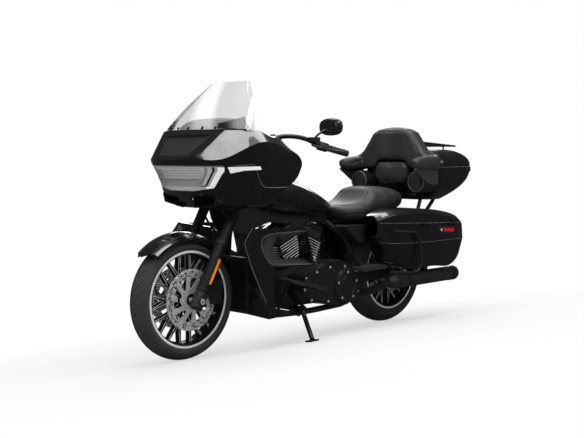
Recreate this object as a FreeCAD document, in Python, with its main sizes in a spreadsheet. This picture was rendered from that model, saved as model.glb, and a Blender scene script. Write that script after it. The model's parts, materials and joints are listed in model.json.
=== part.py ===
"""Touring cruiser motorcycle, leaning on its side stand.

The motorcycle is drawn upright in a frame of its own: +X ahead, +Y to the rider's left,
+Z up, origin on the ground line midway between the axles. Each sub-part's Placement then
leans it over onto the stand. Lengths are millimetres and angles are degrees.
"""
import FreeCAD
import Part
import Sketcher
import math
import os
from FreeCAD import Placement, Rotation, Vector

SIZES = {
    # Stance
    "wheelbase": 1625, "lean_angle": 9, "rake": 26, "fork_angle": 29.25, "trail": 170,
    "origin_ahead": 147, "origin_left": 162,
    # Front wheel
    "front_radius": 319.3, "front_crown": 70, "front_half": 65, "front_bead": 241.3, "front_flange": 253,
    "front_rim_half": 45, "flange_wall": 6, "barrel_wall": 14, "front_hub": 42, "front_hub_half": 62,
    "front_disc_radius": 160,
    # Rear wheel
    "rear_radius": 327.6, "rear_crown": 98, "rear_half": 90, "rear_bead": 228.6, "rear_flange": 241,
    "rear_rim_half": 66, "rear_hub": 48, "rear_hub_half": 78, "rear_disc_radius": 150,
    "pulley_radius": 118, "pulley_width": 26,
    "spoke_pairs": 10, "spoke_wall": 8, "front_spoke_half": 17, "rear_spoke_half": 26,
    "disc_wall": 6, "disc_band": 46, "axle_radius": 12.5, "axle_bore": 8, "shaft_gap": 0.05,
    # Fork and steering
    "leg_side": 125, "slider_radius": 34, "tube_radius": 27, "slider_length": 330, "leg_length": 775,
    "stem_radius": 16, "head_wall": 15, "head_bottom": 850, "head_top": 962, "clamp_wall": 30,
    "bar_radius": 12.7, "grip_radius": 17, "grip_length": 124,
    # Saddlebags
    "bag_wall": 5, "lid_gap": 1,
    # Sheet and cover walls
    "fairing_wall": 6, "fender_wall": 4, "screen_wall": 5, "case_wall": 6,
    # Running gear
    "frame_tube": 17, "rear_tube": 13, "muffler_radius": 44, "pipe_radius": 24,
    "fin_count": 9, "fin_pitch": 15, "fin_wall": 5, "fin_half": 82, "barrel_radius": 60,
    "cylinder_angle": 22.5, "crank_ahead": 20, "crank_height": 335,
    "derby_radius": 92, "pin_radius": 8, "stand_foot_side": 335, "stand_radius": 13,
}

doc = FreeCAD.newDocument("cruiser")
sheet = doc.addObject("Spreadsheet::Sheet", "sizes")
for row, (name, value) in enumerate(SIZES.items(), start=1):
    sheet.set("A%d" % row, name)
    sheet.set("B%d" % row, str(value))
    sheet.setAlias("B%d" % row, name)
doc.recompute()


class Size(float):
    """A number from the sheet that keeps the expression it came from."""

    def __new__(cls, value, text):
        size = super().__new__(cls, value)
        size.text = text
        return size

    def combine(self, other, sign, value, swapped=False):
        other_text = getattr(other, "text", repr(float(other)))
        left, right = (other_text, self.text) if swapped else (self.text, other_text)
        return Size(value, "(%s %s %s)" % (left, sign, right))

    def __add__(self, other):
        return self.combine(other, "+", float(self) + float(other))

    def __radd__(self, other):
        return self.combine(other, "+", float(self) + float(other), True)

    def __sub__(self, other):
        return self.combine(other, "-", float(self) - float(other))

    def __rsub__(self, other):
        return self.combine(other, "-", float(other) - float(self), True)

    def __mul__(self, other):
        return self.combine(other, "*", float(self) * float(other))

    __rmul__ = __mul__

    def __truediv__(self, other):
        return self.combine(other, "/", float(self) / float(other))

    def __neg__(self):
        return self * -1


class Sizes:
    """Every driving size, read back from the sheet by its alias."""


d = Sizes()
for name in SIZES:
    setattr(d, name, Size(sheet.get(name), "sizes." + name))


def sine(angle):
    return math.sin(math.radians(angle))


def cosine(angle):
    return math.cos(math.radians(angle))


def axle_height(radius, crown):
    """Height of an axle whose leaning, crowned tyre just touches the ground."""
    return float(radius - crown) + float(crown) / cosine(d.lean_angle)


FRONT = Vector(d.wheelbase / 2, 0, axle_height(d.front_radius, d.front_crown))
REAR = Vector(-d.wheelbase / 2, 0, axle_height(d.rear_radius, d.rear_crown))
LEAN = Placement(Vector(d.origin_ahead, -d.origin_left, 0), Rotation(Vector(1, 0, 0), -d.lean_angle))
X, Y, Z = Vector(1, 0, 0), Vector(0, 1, 0), Vector(0, 0, 1)

STEER_FOOT = Vector(d.wheelbase / 2 + d.trail, 0, 0)
STEER_UP = Vector(-sine(d.rake), 0, cosine(d.rake))
STEER_AHEAD = Vector(cosine(d.rake), 0, sine(d.rake))
LEG_UP = Vector(-sine(d.fork_angle), 0, cosine(d.fork_angle))


def ground(side):
    """Height of the ground beside the leaning motorcycle, in its own frame."""
    return side * math.tan(math.radians(d.lean_angle))


def steer_point(height):
    return STEER_FOOT + STEER_UP * (height / STEER_UP.z)


# Document helpers

sub_parts = []


def keep(obj, label, local=Placement()):
    obj.Label = label
    obj.Placement = LEAN.multiply(local)
    sub_parts.append(obj)
    return obj


def solid_part(label, shape):
    """A free-form sub-part, whose shape comes from the functions below."""
    if shape.ShapeType == "Compound" and len(shape.Solids) == 1:
        shape = shape.Solids[0]
    obj = doc.addObject("Part::Feature", label)
    obj.Shape = shape
    return keep(obj, label, shape.Placement)


def bind(obj, **sizes):
    for prop, size in sizes.items():
        if isinstance(size, Size):
            obj.setExpression(prop, size.text)
        else:
            setattr(obj, prop, size)
    return obj


def plane(body, role):
    return next(f for f in body.Origin.OriginFeatures if f.Role == role)


def new_body(label):
    return doc.addObject("PartDesign::Body", label)


def new_sketch(body, name, role="XY_Plane", offset=0):
    sketch = body.newObject("Sketcher::SketchObject", name)
    sketch.AttachmentSupport = (plane(body, role), [""])
    sketch.MapMode = "FlatFace"
    if offset:
        sketch.AttachmentOffset = Placement(Vector(0, 0, offset), Rotation())
        if isinstance(offset, Size):
            sketch.setExpression("AttachmentOffset.Base.z", offset.text)
    return sketch


def fix_point(sketch, index, end, point):
    """Ties one end of a sketch edge to its two coordinates."""
    for kind, value, axis in zip(("DistanceX", "DistanceY"), point, (-2, -1)):
        if abs(value) < 1e-6:
            sketch.addConstraint(Sketcher.Constraint("PointOnObject", index, end, axis))
            continue
        number = sketch.addConstraint(Sketcher.Constraint(kind, -1, 1, index, end, float(value)))
        if isinstance(value, Size):
            sketch.setExpression("Constraints[%d]" % number, value.text)


def outline(sketch, points):
    """Closed outline of straight edges and arcs.

    A point is (x, y), or (x, y, (via_x, via_y)) where an arc leads to it from the point before.
    """
    corners = [Vector(p[0], p[1], 0) for p in points]
    ends = []
    first = sketch.GeometryCount
    for i, point in enumerate(points):
        start, stop = corners[i - 1], corners[i]
        if len(point) > 2:
            via = Vector(point[2][0], point[2][1], 0)
            sketch.addGeometry(Part.Arc(start, via, stop), False)
            turns_left = (via - start).cross(stop - via).z > 0
            ends.append((1, 2) if turns_left else (2, 1))
        else:
            sketch.addGeometry(Part.LineSegment(start, stop), False)
            ends.append((1, 2))
    for i, point in enumerate(points):
        after = (i + 1) % len(points)
        sketch.addConstraint(
            Sketcher.Constraint("Coincident", first + i, ends[i][1], first + after, ends[after][0]))
        fix_point(sketch, first + i, ends[i][1], point)


def ring(sketch, ahead, up, radius):
    index = sketch.addGeometry(Part.Circle(Vector(ahead, up, 0), Z, float(radius)), False)
    number = sketch.addConstraint(Sketcher.Constraint("Radius", index, float(radius)))
    if isinstance(radius, Size):
        sketch.setExpression("Constraints[%d]" % number, radius.text)
    fix_point(sketch, index, 3, (ahead, up))


def revolve(body, name, points, role="Y_Axis", angle=360):
    """Solid of revolution; points are (ahead, along) on the body's XY plane."""
    sketch = new_sketch(body, name + "_sketch")
    outline(sketch, points)
    turn = body.newObject("PartDesign::Revolution", name)
    turn.Profile = sketch
    turn.ReferenceAxis = (sketch, ["V_Axis"] if role == "Y_Axis" else ["H_Axis"])
    turn.Angle = angle
    return turn


def pad(body, name, role, draw, length, both=True, offset=0):
    """Pad of what draw(sketch) draws, both sides of the plane unless told otherwise."""
    sketch = new_sketch(body, name + "_sketch", role, offset)
    draw(sketch)
    solid = body.newObject("PartDesign::Pad", name)
    solid.Profile = sketch
    bind(solid, Length=length)
    solid.Midplane = both
    return solid


def pocket(body, name, role, draw, length, offset=0):
    sketch = new_sketch(body, name + "_sketch", role, offset)
    draw(sketch)
    cut = body.newObject("PartDesign::Pocket", name)
    cut.Profile = sketch
    bind(cut, Length=length)
    cut.Midplane = True
    return cut


def around(body, name, feature, count, role="Y_Axis"):
    pattern = body.newObject("PartDesign::PolarPattern", name)
    pattern.Originals = [feature]
    pattern.Axis = (plane(body, role), [""])
    pattern.Angle = 360
    bind(pattern, Occurrences=count)
    body.Tip = pattern
    return pattern


# Shape helpers

def rod(start, stop, radius):
    along = stop - start
    return Part.makeCylinder(float(radius), along.Length, start, along)


def block(low, high):
    size = [b - a for a, b in zip(low, high)]
    return Part.makeBox(size[0], size[1], size[2], Vector(*low))


def fused(shapes):
    shapes = list(shapes)
    whole = shapes[0].multiFuse(shapes[1:]) if len(shapes) > 1 else shapes[0]
    return whole.removeSplitter()


def both_sides(shape):
    """The shape and its mirror image on the other side of the motorcycle."""
    return Part.makeCompound([shape, mirrored(shape)])


def mirrored(shape):
    return shape.mirror(Vector(0, 0, 0), Y)


def bent_tube(points, radius, share=0.45):
    """Tube along straight runs, each corner rounded by an arc as large as its runs allow."""
    pieces = []
    last = points[0]
    for before, corner, after in zip(points, points[1:], points[2:]):
        back, ahead = before - corner, after - corner
        reach = share * min(back.Length, ahead.Length)
        start = corner + back.normalize() * reach
        stop = corner + ahead.normalize() * reach
        bisector = (start + stop) * 0.5 - corner
        turn = math.atan2(bisector.Length, (start - stop).Length / 2)
        arc_radius = reach / math.tan(turn)
        centre = corner + bisector.normalize() * math.hypot(arc_radius, reach)
        axis = back.cross(ahead)
        face = Part.Face(Part.Wire(Part.makeCircle(float(radius), start, back)))
        pieces.append(rod(last, start, radius))
        pieces.append(face.revolve(centre, axis * -1, math.degrees(2 * turn)))
        last = stop
    pieces.append(rod(last, points[-1], radius))
    return pieces[0].multiFuse(pieces[1:])


def mirror_tube(points, radius):
    """A tube that runs from its first point, on the centre line, out to both sides."""
    right = [Vector(p.x, -p.y, p.z) for p in reversed(points[1:])]
    return bent_tube(right + points[1:], radius)


def superellipse(angle, half_wide, half_tall, fullness):
    c, s = cosine(angle), sine(angle)
    return (half_wide * math.copysign(abs(c) ** (2 / fullness), c),
            half_tall * math.copysign(abs(s) ** (2 / fullness), s))


def cross_section(ahead, half_wide, low, high, fullness=3.0, centre=0, count=20):
    """Closed rounded section across the motorcycle."""
    points = []
    for i in range(count):
        wide, tall = superellipse(360 * (i + 0.5) / count, half_wide, (high - low) / 2, fullness)
        points.append(Vector(ahead, centre + wide, (high + low) / 2 + tall))
    curve = Part.BSplineCurve()
    curve.interpolate(points, PeriodicFlag=True)
    return Part.Wire(curve.toShape())


def plan_section(level, nose, side, rear, fullness=2.6, count=6):
    """Closed plan outline at one height: a rounded front and a straight back."""
    points = []
    for i in range(-count, count + 1):
        ahead, across = superellipse(90 * i / count, nose - rear, side, fullness)
        points.append(Vector(rear + ahead, across, level))
    curve = Part.BSplineCurve()
    curve.interpolate(points)
    return Part.Wire([curve.toShape(), Part.LineSegment(points[-1], points[0]).toShape()])


def rounded_wire(points, radius):
    """Closed wire through planar corners, each rounded by a tangent arc."""
    edges = []
    starts, stops, vias = [], [], []
    count = len(points)
    for i, corner in enumerate(points):
        back, ahead = points[i - 1] - corner, points[(i + 1) % count] - corner
        turn = back.getAngle(ahead)
        reach = min(radius / math.tan(turn / 2), 0.45 * back.Length, 0.45 * ahead.Length)
        start = corner + back.normalize() * reach
        stop = corner + ahead.normalize() * reach
        bisector = (start + stop) * 0.5 - corner
        arc_radius = reach * math.tan(turn / 2)
        vias.append(corner + bisector.normalize() * (math.hypot(arc_radius, reach) - arc_radius))
        starts.append(start)
        stops.append(stop)
    for i in range(count):
        edges.append(Part.Arc(starts[i], vias[i], stops[i]).toShape())
        edges.append(Part.LineSegment(stops[i], starts[(i + 1) % count]).toShape())
    return Part.Wire(edges)


def slab(points, radius, sweep):
    """Flat plate with rounded corners, pushed along sweep."""
    return Part.Face(rounded_wire(points, radius)).extrude(sweep)


def side_plate(outline_points, low_side, high_side, radius=12):
    """Plate whose (ahead, up) outline is seen from the side."""
    points = [Vector(a, low_side, u) for a, u in outline_points]
    return slab(points, radius, Vector(0, high_side - low_side, 0))


def loft(wires):
    return Part.makeLoft(wires, True, False)


# Wheels

def make_tyre(label, centre, radius, crown, half, bead, rim_half, flange):
    """Solid tyre ring with a round crown, seated on the rim between its flanges."""
    body = new_body(label)
    shoulder = half * 0.86
    drop = float(crown) - math.sqrt(float(crown) ** 2 - float(shoulder) ** 2)
    edge = float(radius) - drop
    belly = float(flange) + (edge - float(flange)) * 0.55
    gap = 0.4
    points = [
        (bead, -rim_half), (flange + gap, -rim_half), (flange + gap, -(rim_half + d.flange_wall)),
        (belly, -half), (edge, -shoulder), (edge, shoulder, (float(radius), 0)),
        (belly, half), (flange + gap, rim_half + d.flange_wall), (flange + gap, rim_half), (bead, rim_half),
    ]
    revolve(body, label + "_turn", points)
    return keep(body, label, Placement(centre, Rotation()))


def make_wheel(label, centre, bead, flange, rim_half, hub, hub_half, spoke_half, bore):
    """Cast wheel: rim, hub, and forked spokes in pairs."""
    body = new_body(label)
    inner = bead - d.barrel_wall
    rim = [
        (inner, -rim_half * 0.55), (inner + 8, -rim_half), (bead - 4, -(rim_half + d.flange_wall)),
        (flange, -(rim_half + d.flange_wall)), (flange, -rim_half), (bead, -rim_half),
        (bead, rim_half), (flange, rim_half), (flange, rim_half + d.flange_wall),
        (bead - 4, rim_half + d.flange_wall), (inner + 8, rim_half), (inner, rim_half * 0.55),
    ]
    revolve(body, label + "_rim", rim)
    pitch = 360 / float(d.spoke_pairs)
    root, fork = float(hub) - 4, float(hub) + (float(inner) - float(hub)) * 0.42

    def polar(radius, angle):
        return radius * cosine(angle), radius * sine(angle)

    def spoke(sketch):
        wall = float(d.spoke_wall)
        tip = float(inner) + 4
        spread = pitch * 0.27
        wide = math.degrees(wall / 2 / tip)
        mid = math.degrees(wall / 2 / fork)
        base = math.degrees(wall / root)
        crotch = polar(fork + 16, 0)
        outline(sketch, [
            polar(root, -base), polar(fork, -2.2 * mid), polar(tip, -spread - wide),
            polar(tip, -spread + wide),
            crotch, polar(tip, spread - wide), polar(tip, spread + wide), polar(fork, 2.2 * mid),
            polar(root, base)])

    first = pad(body, label + "_spoke", "XZ_Plane", spoke, spoke_half * 2)
    around(body, label + "_spokes", first, d.spoke_pairs)

    def hub_circle(sketch):
        ring(sketch, 0, 0, hub)

    pad(body, label + "_hub", "XZ_Plane", hub_circle, hub_half * 2)
    pocket(body, label + "_bore", "XZ_Plane", lambda sketch: ring(sketch, 0, 0, bore), hub_half * 2 + 10)
    body.Tip = body.Group[-1]
    return keep(body, label, Placement(centre, Rotation()))


def disc_shape(centre, side, radius, hub, arms=5):
    """Brake disc: a band carried by open arms on a small flange."""
    wall = float(d.disc_wall)
    low = Vector(centre.x, side - wall / 2, centre.z)
    band = Part.makeCylinder(float(radius), wall, low, Y).cut(
        Part.makeCylinder(float(radius - d.disc_band), wall, low, Y))
    collar = Part.makeCylinder(hub + 22, wall, low, Y).cut(Part.makeCylinder(hub, wall, low, Y))
    pieces = [band, collar]
    for i in range(arms):
        for lean in (-14, 14):
            arm = Part.makeBox(float(radius - d.disc_band) - hub - 8, wall, 10,
                               Vector(hub + 12, -wall / 2, -5))
            arm.rotate(Vector(0, 0, 0), Y, lean)
            arm.rotate(Vector(0, 0, 0), Y, 360 * i / arms)
            arm.translate(Vector(centre.x, side, centre.z))
            pieces.append(arm)
    return fused(pieces)


make_tyre("front_tyre", FRONT, d.front_radius, d.front_crown, d.front_half, d.front_bead, d.front_rim_half,
          d.front_flange)
make_tyre("rear_tyre", REAR, d.rear_radius, d.rear_crown, d.rear_half, d.rear_bead, d.rear_rim_half,
          d.rear_flange)
make_wheel("front_wheel", FRONT, d.front_bead, d.front_flange, d.front_rim_half, d.front_hub,
           d.front_hub_half, d.front_spoke_half, d.axle_radius + d.shaft_gap)
make_wheel("rear_wheel", REAR, d.rear_bead, d.rear_flange, d.rear_rim_half, d.rear_hub, d.rear_hub_half,
           d.rear_spoke_half, d.axle_radius + d.shaft_gap)

solid_part("front_discs", both_sides(disc_shape(
    FRONT, float(d.front_hub_half + d.disc_wall / 2), d.front_disc_radius, float(d.front_hub) - 10)))
pulley_low = float(d.rear_hub_half)
pulley = Part.makeCylinder(float(d.pulley_radius), float(d.pulley_width),
                           Vector(REAR.x, pulley_low, REAR.z), Y)
pulley = pulley.cut(Part.makeCylinder(24, 40, Vector(REAR.x, pulley_low - 1, REAR.z), Y))
for i in range(5):
    window = Part.makeCylinder(22, 60, Vector(72, pulley_low - 10, 0), Y)
    window.rotate(Vector(0, 0, 0), Y, 72 * i)
    window.translate(Vector(REAR.x, 0, REAR.z))
    pulley = pulley.cut(window)
rear_disc = disc_shape(REAR, -float(d.rear_hub_half + d.disc_wall / 2), d.rear_disc_radius, 30)
solid_part("rear_rotors", Part.makeCompound([rear_disc, pulley]))


def axle(label, centre, reach):
    """Hollow axle through the wheel."""
    low = Vector(centre.x, -reach, centre.z)
    outer = Part.makeCylinder(float(d.axle_radius), 2 * reach, low, Y)
    return solid_part(label, outer.cut(Part.makeCylinder(float(d.axle_bore), 2 * reach, low, Y)))


AXLE_REACH = float(d.leg_side + d.slider_radius)
axle("front_axle", FRONT, AXLE_REACH)
axle("rear_axle", REAR, 165)

# Fork


def leg_shape():
    foot = Vector(FRONT.x, float(d.leg_side), FRONT.z)
    low = foot - LEG_UP * 38
    slider = rod(low, foot + LEG_UP * float(d.slider_length), d.slider_radius)
    tube = rod(foot + LEG_UP * float(d.slider_length), foot + LEG_UP * float(d.leg_length), d.tube_radius)
    collar = rod(foot + LEG_UP * (float(d.slider_length) - 14), foot + LEG_UP * (float(d.slider_length) + 8),
                 float(d.slider_radius) + 2)
    bore = Part.makeCylinder(float(d.axle_radius), 200, foot - Y * 100, Y)
    return fused([slider, tube, collar]).cut(bore)


def clamp_shape(height):
    """Triple clamp across both fork tubes and the steering stem."""
    centre = steer_point(height)
    ahead = Vector(STEER_UP.z, 0, -STEER_UP.x)
    drift = steer_drift(height)
    corners = [(42, 0), (10, 60), (-drift + 30, 158), (-drift - 30, 160), (-drift - 34, 100), (-36, 0)]
    points = [centre + ahead * a + Y * s for a, s in corners]
    points += [centre + ahead * a - Y * s for a, s in reversed(corners[1:-1])]
    plate = slab(points, 26, STEER_UP * float(d.clamp_wall))
    return plate


def steer_drift(height):
    """How far the fork tubes lie behind the steering axis near this height."""
    along = (height - FRONT.z) / LEG_UP.z
    leg_ahead = FRONT.x + LEG_UP.x * along
    return steer_point(height).x - leg_ahead


LOW_CLAMP = float(d.head_bottom) - float(d.clamp_wall) - 2
HIGH_CLAMP = float(d.head_top) + 2
stem = rod(steer_point(LOW_CLAMP + 4), steer_point(HIGH_CLAMP + 10), d.stem_radius)
left_leg = leg_shape()
fork = fused([left_leg, mirrored(left_leg), clamp_shape(LOW_CLAMP), clamp_shape(HIGH_CLAMP), stem])
solid_part("fork", fork)

BAR = [Vector(450, 0, 1064), Vector(440, 72, 1066), Vector(395, 165, 1128), Vector(330, 255, 1166),
       Vector(255, 320, 1158), Vector(145, 377, 1106), Vector(35, 437, 1072)]
riser = rod(Vector(480, 46, 962), Vector(450, 46, 1062), 17)
handlebar = fused([mirror_tube(BAR, d.bar_radius), riser, mirrored(riser)]).cut(fork)
solid_part("handlebar", handlebar)

GRIP_LINE = (BAR[-1] - BAR[-2]).normalize()


def grip_shape():
    end = BAR[-1] + GRIP_LINE * 6
    start = end - GRIP_LINE * float(d.grip_length)
    flange = rod(start, start + GRIP_LINE * 8, float(d.grip_radius) + 6)
    whole = fused([rod(start, end, d.grip_radius), flange])
    return whole.cut(handlebar)


solid_part("grips", both_sides(grip_shape()))


def control_shape():
    """Switch housing, reservoir and lever on one side."""
    end = BAR[-1] + GRIP_LINE * 6
    outer = end - GRIP_LINE * (float(d.grip_length) + 1)
    inner = outer - GRIP_LINE * 46
    housing = rod(inner, outer, 25)
    tank_base = inner + Vector(16, -12, 16)
    reservoir = block(tank_base, tank_base + Vector(52, 44, 26))
    pivot = inner + Vector(52, 6, 4)
    tip = end + Vector(62, 22, 8)
    elbow = pivot + Vector(22, 26, -6)
    lever = bent_tube([pivot - Vector(46, 0, 4), pivot, elbow, (elbow + tip) * 0.5 + Vector(4, 0, -3),
                       tip], 6.5, 0.4)
    whole = fused([housing, reservoir, lever])
    return whole.cut(handlebar)


left_controls = control_shape()
solid_part("controls", both_sides(left_controls))


def mirror_shape():
    centre = Vector(112, 395, 1215)
    wires = []
    for ahead, share in ((-12, 0.9), (-4, 1.0), (8, 0.92), (18, 0.55)):
        wires.append(cross_section(centre.x + ahead, 82 * share, centre.z - 48 * share, centre.z + 46 * share,
                                   2.7, centre.y, 16))
    head = loft(wires)
    stalk = bent_tube([Vector(196, 346, 1128), Vector(180, 352, 1165), Vector(150, 368, 1188),
                       Vector(116, 380, 1205)], 6.5)
    return fused([head, stalk]).cut(handlebar).cut(left_controls)


solid_part("mirrors", both_sides(mirror_shape()))

# Front fender


def fender_shape(centre, crown, half, skirt, start, sweep, wall):
    """Fender shell: an arched section turned about the wheel."""
    def arch(grow):
        w = half - grow
        top = crown - grow
        shoulder = crown - 34 - grow * 0.4
        a = Vector(centre.x + skirt, w, centre.z)
        b = Vector(centre.x + shoulder, w, centre.z)
        c = Vector(centre.x + shoulder, -w, centre.z)
        e = Vector(centre.x + skirt, -w, centre.z)
        return a, b, Vector(centre.x + top, 0, centre.z), c, e

    a, b, top, c, e = arch(0)
    ai, bi, top_in, ci, ei = arch(wall)
    edges = [Part.LineSegment(a, b).toShape(), Part.Arc(b, top, c).toShape(),
             Part.LineSegment(c, e).toShape(),
             Part.LineSegment(e, ei).toShape(), Part.LineSegment(ei, ci).toShape(),
             Part.Arc(ci, top_in, bi).toShape(),
             Part.LineSegment(bi, ai).toShape(), Part.LineSegment(ai, a).toShape()]
    face = Part.Face(Part.Wire(edges))
    face.rotate(centre, Y, -start)
    return face.revolve(centre, Y, -sweep)


FENDER_AT = Vector(834, 0, 326)
front_fender = fender_shape(FENDER_AT, 345, 84, 296, 43, 119, float(d.fender_wall))
nose_trim = slab([Vector(1094, 0, 400), Vector(1030, 90, 400), Vector(1030, 200, 400), Vector(1200, 200, 400),
                  Vector(1200, -200, 400), Vector(1030, -200, 400), Vector(1030, -90, 400)], 1, Z * 400)
front_fender = front_fender.cut(nose_trim)
mount_at = Vector(FRONT.x, 83, FRONT.z) + LEG_UP * 300
fender_mount = rod(mount_at, mount_at + Y * 20, 10).cut(left_leg)
solid_part("front_fender", fused([front_fender, fender_mount, mirrored(fender_mount)]))


def front_caliper():
    reach = float(d.front_disc_radius) - 12
    shape = block((-60, -26, -30), (60, 34, 34))
    slot = block((-80, -8, -60), (80, 8, 18))
    shape = shape.cut(slot)
    shape.rotate(Vector(0, 0, 0), Y, -90)
    shape.translate(Vector(FRONT.x - reach, float(d.front_hub_half) + 3, FRONT.z + 28))
    bracket = block((FRONT.x - reach, 82, FRONT.z + 10), (FRONT.x - 20, 98, FRONT.z + 50))
    return fused([shape, bracket]).cut(left_leg)


solid_part("front_calipers", both_sides(front_caliper()))

# Frame

head = rod(steer_point(float(d.head_bottom)), steer_point(float(d.head_top)),
           float(d.stem_radius + d.head_wall))
head = head.cut(rod(steer_point(float(d.head_bottom) - 5), steer_point(float(d.head_top) + 5),
                    float(d.stem_radius + d.shaft_gap)))
spine = slab([Vector(500, -32, 935), Vector(540, -32, 870), Vector(180, -32, 760), Vector(-250, -32, 655),
              Vector(-250, -32, 715), Vector(200, -32, 850)], 20, Y * 64)
STEER_ROOM = rod(steer_point(760), steer_point(1300), 178)
keep_clear = rod(steer_point(700), steer_point(1100), float(d.stem_radius + d.shaft_gap))
CRADLE = [Vector(420, 26, 832), Vector(440, 60, 640), Vector(405, 118, 330), Vector(352, 150, 192),
          Vector(60, 158, 180), Vector(-300, 150, 190), Vector(-392, 140, 330), Vector(-360, 100, 560),
          Vector(-250, 26, 668)]
FIT = 0.3
cradle = bent_tube(CRADLE, d.frame_tube, 0.4)
cradle_room = bent_tube(CRADLE, d.frame_tube + FIT, 0.4)
pivot_cross = (Vector(-386, -142, 320), Vector(-386, 142, 320))
crosses = [rod(Vector(200, -150, 186), Vector(200, 150, 186), d.frame_tube),
           rod(Vector(60, -156, 191), Vector(60, 156, 191), d.frame_tube),
           rod(pivot_cross[0], pivot_cross[1], d.frame_tube)]
STAY = (steer_point(905) + STEER_AHEAD * 20, Vector(730, 0, 1030))
stay = rod(STAY[0], STAY[1], 14)

# Folding stand and footboards: each turns on a pin that the frame carries

foot_side = float(d.stand_foot_side)
STAND_PIVOT = Vector(120, 188, 208)
FOOT = Vector(190, foot_side, ground(foot_side))
STOWED = Vector(-0.98, 0.09, -0.18)
LEG_DOWN = (FOOT + Z * 14 - STAND_PIVOT).normalize()
STAND_AXIS = LEG_DOWN.cross(STOWED).normalize()
PIN = float(d.pin_radius)
GAP = float(d.shaft_gap)
stand_bracket = [rod(STAND_PIVOT - STAND_AXIS * 46, STAND_PIVOT - STAND_AXIS * 14.5, 20),
                 rod(STAND_PIVOT - STAND_AXIS * 20, STAND_PIVOT + STAND_AXIS * 20, PIN),
                 rod(STAND_PIVOT + STAND_AXIS * 14.5, STAND_PIVOT + STAND_AXIS * 20, 13)]

BOARD_HINGE = Vector(318, 244, 390)
BOARD_ALONG = Vector(310, 0, 80).normalize()
PASSENGER_HINGE = Vector(-376, 256, 408)


def hinge_pin(centre, along, half, feet):
    """Pin beyond both ends of a hinge eye, on two arms from the frame."""
    ends = [centre + along * (half + 16), centre - along * (half + 16)]
    pieces = [rod(ends[0], ends[1], PIN)]
    for end, foot in zip(ends, feet):
        pieces.append(rod(end, foot, 9))
        pieces.append(rod(end - along * 4, end + along * 4, 12))
    return pieces


rider_arms = hinge_pin(BOARD_HINGE, BOARD_ALONG, 26, (Vector(368, 142, 225), Vector(285, 152, 190)))
passenger_arms = hinge_pin(PASSENGER_HINGE, X, 20, (Vector(-372, 116, 480), Vector(-384, 130, 410)))
arms = rider_arms + passenger_arms
frame = fused([head, spine, cradle, mirrored(cradle), stay] + crosses + stand_bracket + arms
              + [mirrored(arm) for arm in arms]).cut(keep_clear)
solid_part("frame", frame)

rail_line = [Vector(-262, 96, 640), Vector(-420, 150, 628), Vector(-700, 158, 640), Vector(-1040, 150, 655)]
rail = bent_tube(rail_line, d.rear_tube)
rail_room = bent_tube(rail_line, d.rear_tube + FIT)
rear_cross = [rod(Vector(-590, -156, 636), Vector(-590, 156, 636), d.rear_tube),
              rod(Vector(-1034, -151, 674), Vector(-1034, 151, 674), d.rear_tube)]
strut = [rod(Vector(-960, 148, 650), Vector(-1010, 148, 775.7), 12),
         rod(Vector(-1020, 150, 652), Vector(-1150, 150, 775.7), 12)]
pegs = [rod(Vector(x, 150, z + 16), Vector(x, 200, z - 7), 8)
        .cut(block((x - 20, reach, z - 40), (x + 20, 260, z + 40)))
        for x, z, reach in ((-600, 626, 189.3), (-990, 624, 185.4))]
hanger = bent_tube([Vector(-790, 157, 640), Vector(-790, 170, 600), Vector(-790, 172, 351),
                    Vector(-790, 290, 351)], 6)
rear_side = fused([rail, hanger] + strut + pegs).cut(block((-1300, 0, 775.7), (-900, 300, 900)))
solid_part("rear_frame", fused([rear_side, mirrored(rear_side)] + rear_cross))

# Engine

case_outline = [(150, 210), (192, 300), (182, 380), (145, 414.4), (20, 466.2), (-105, 414.4), (-190, 430),
                (-330, 440), (-356, 340), (-330, 216), (-120, 205)]
solid_part("engine_case", side_plate(case_outline, -96, 96, 20).cut(cradle_room).cut(mirrored(cradle_room)))
CRANK = Vector(float(d.crank_ahead), 0, float(d.crank_height))


def make_cylinder(label, tilt):
    """Air-cooled cylinder: a barrel with a stack of square fins and a finned head."""
    body = new_body(label)
    base = 122

    def barrel(sketch):
        ring(sketch, 0, 0, d.barrel_radius)

    pad(body, label + "_barrel", "XY_Plane", barrel, d.fin_pitch * d.fin_count + 58, both=False, offset=base)

    def fin(sketch):
        w, c = d.fin_half, d.fin_half * 0.62
        outline(sketch, [(w, -c), (w, c), (c, w), (-c, w), (-w, c), (-w, -c), (-c, -w), (c, -w)])

    first = pad(body, label + "_fin", "XY_Plane", fin, d.fin_wall, both=False, offset=base + 16)
    stack = body.newObject("PartDesign::LinearPattern", label + "_fins")
    stack.Originals = [first]
    stack.Direction = (plane(body, "Z_Axis"), [""])
    stack.Length = float(d.fin_pitch) * float(d.fin_count - 1)
    stack.setExpression("Length", (d.fin_pitch * (d.fin_count - 1)).text)
    bind(stack, Occurrences=d.fin_count)
    body.Tip = stack
    pad(body, label + "_head", "XY_Plane", fin, 44, both=False,
        offset=base + 16 + float(d.fin_pitch * d.fin_count))
    side = -1 if tilt > 0 else 1
    slope = math.tan(math.radians(abs(tilt)))

    def other_side(sketch):
        gap, far = 2.5, 420
        outline(sketch, [(-side * gap, 0), (side * (slope * far - gap), far), (side * 400, far),
                         (side * 400, 0)])

    pocket(body, label + "_side", "XZ_Plane", other_side, d.fin_half * 2 + 40)
    return keep(body, label, Placement(CRANK, Rotation(Y, tilt)))


make_cylinder("cylinder_front", float(d.cylinder_angle))
make_cylinder("cylinder_rear", -float(d.cylinder_angle))


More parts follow.
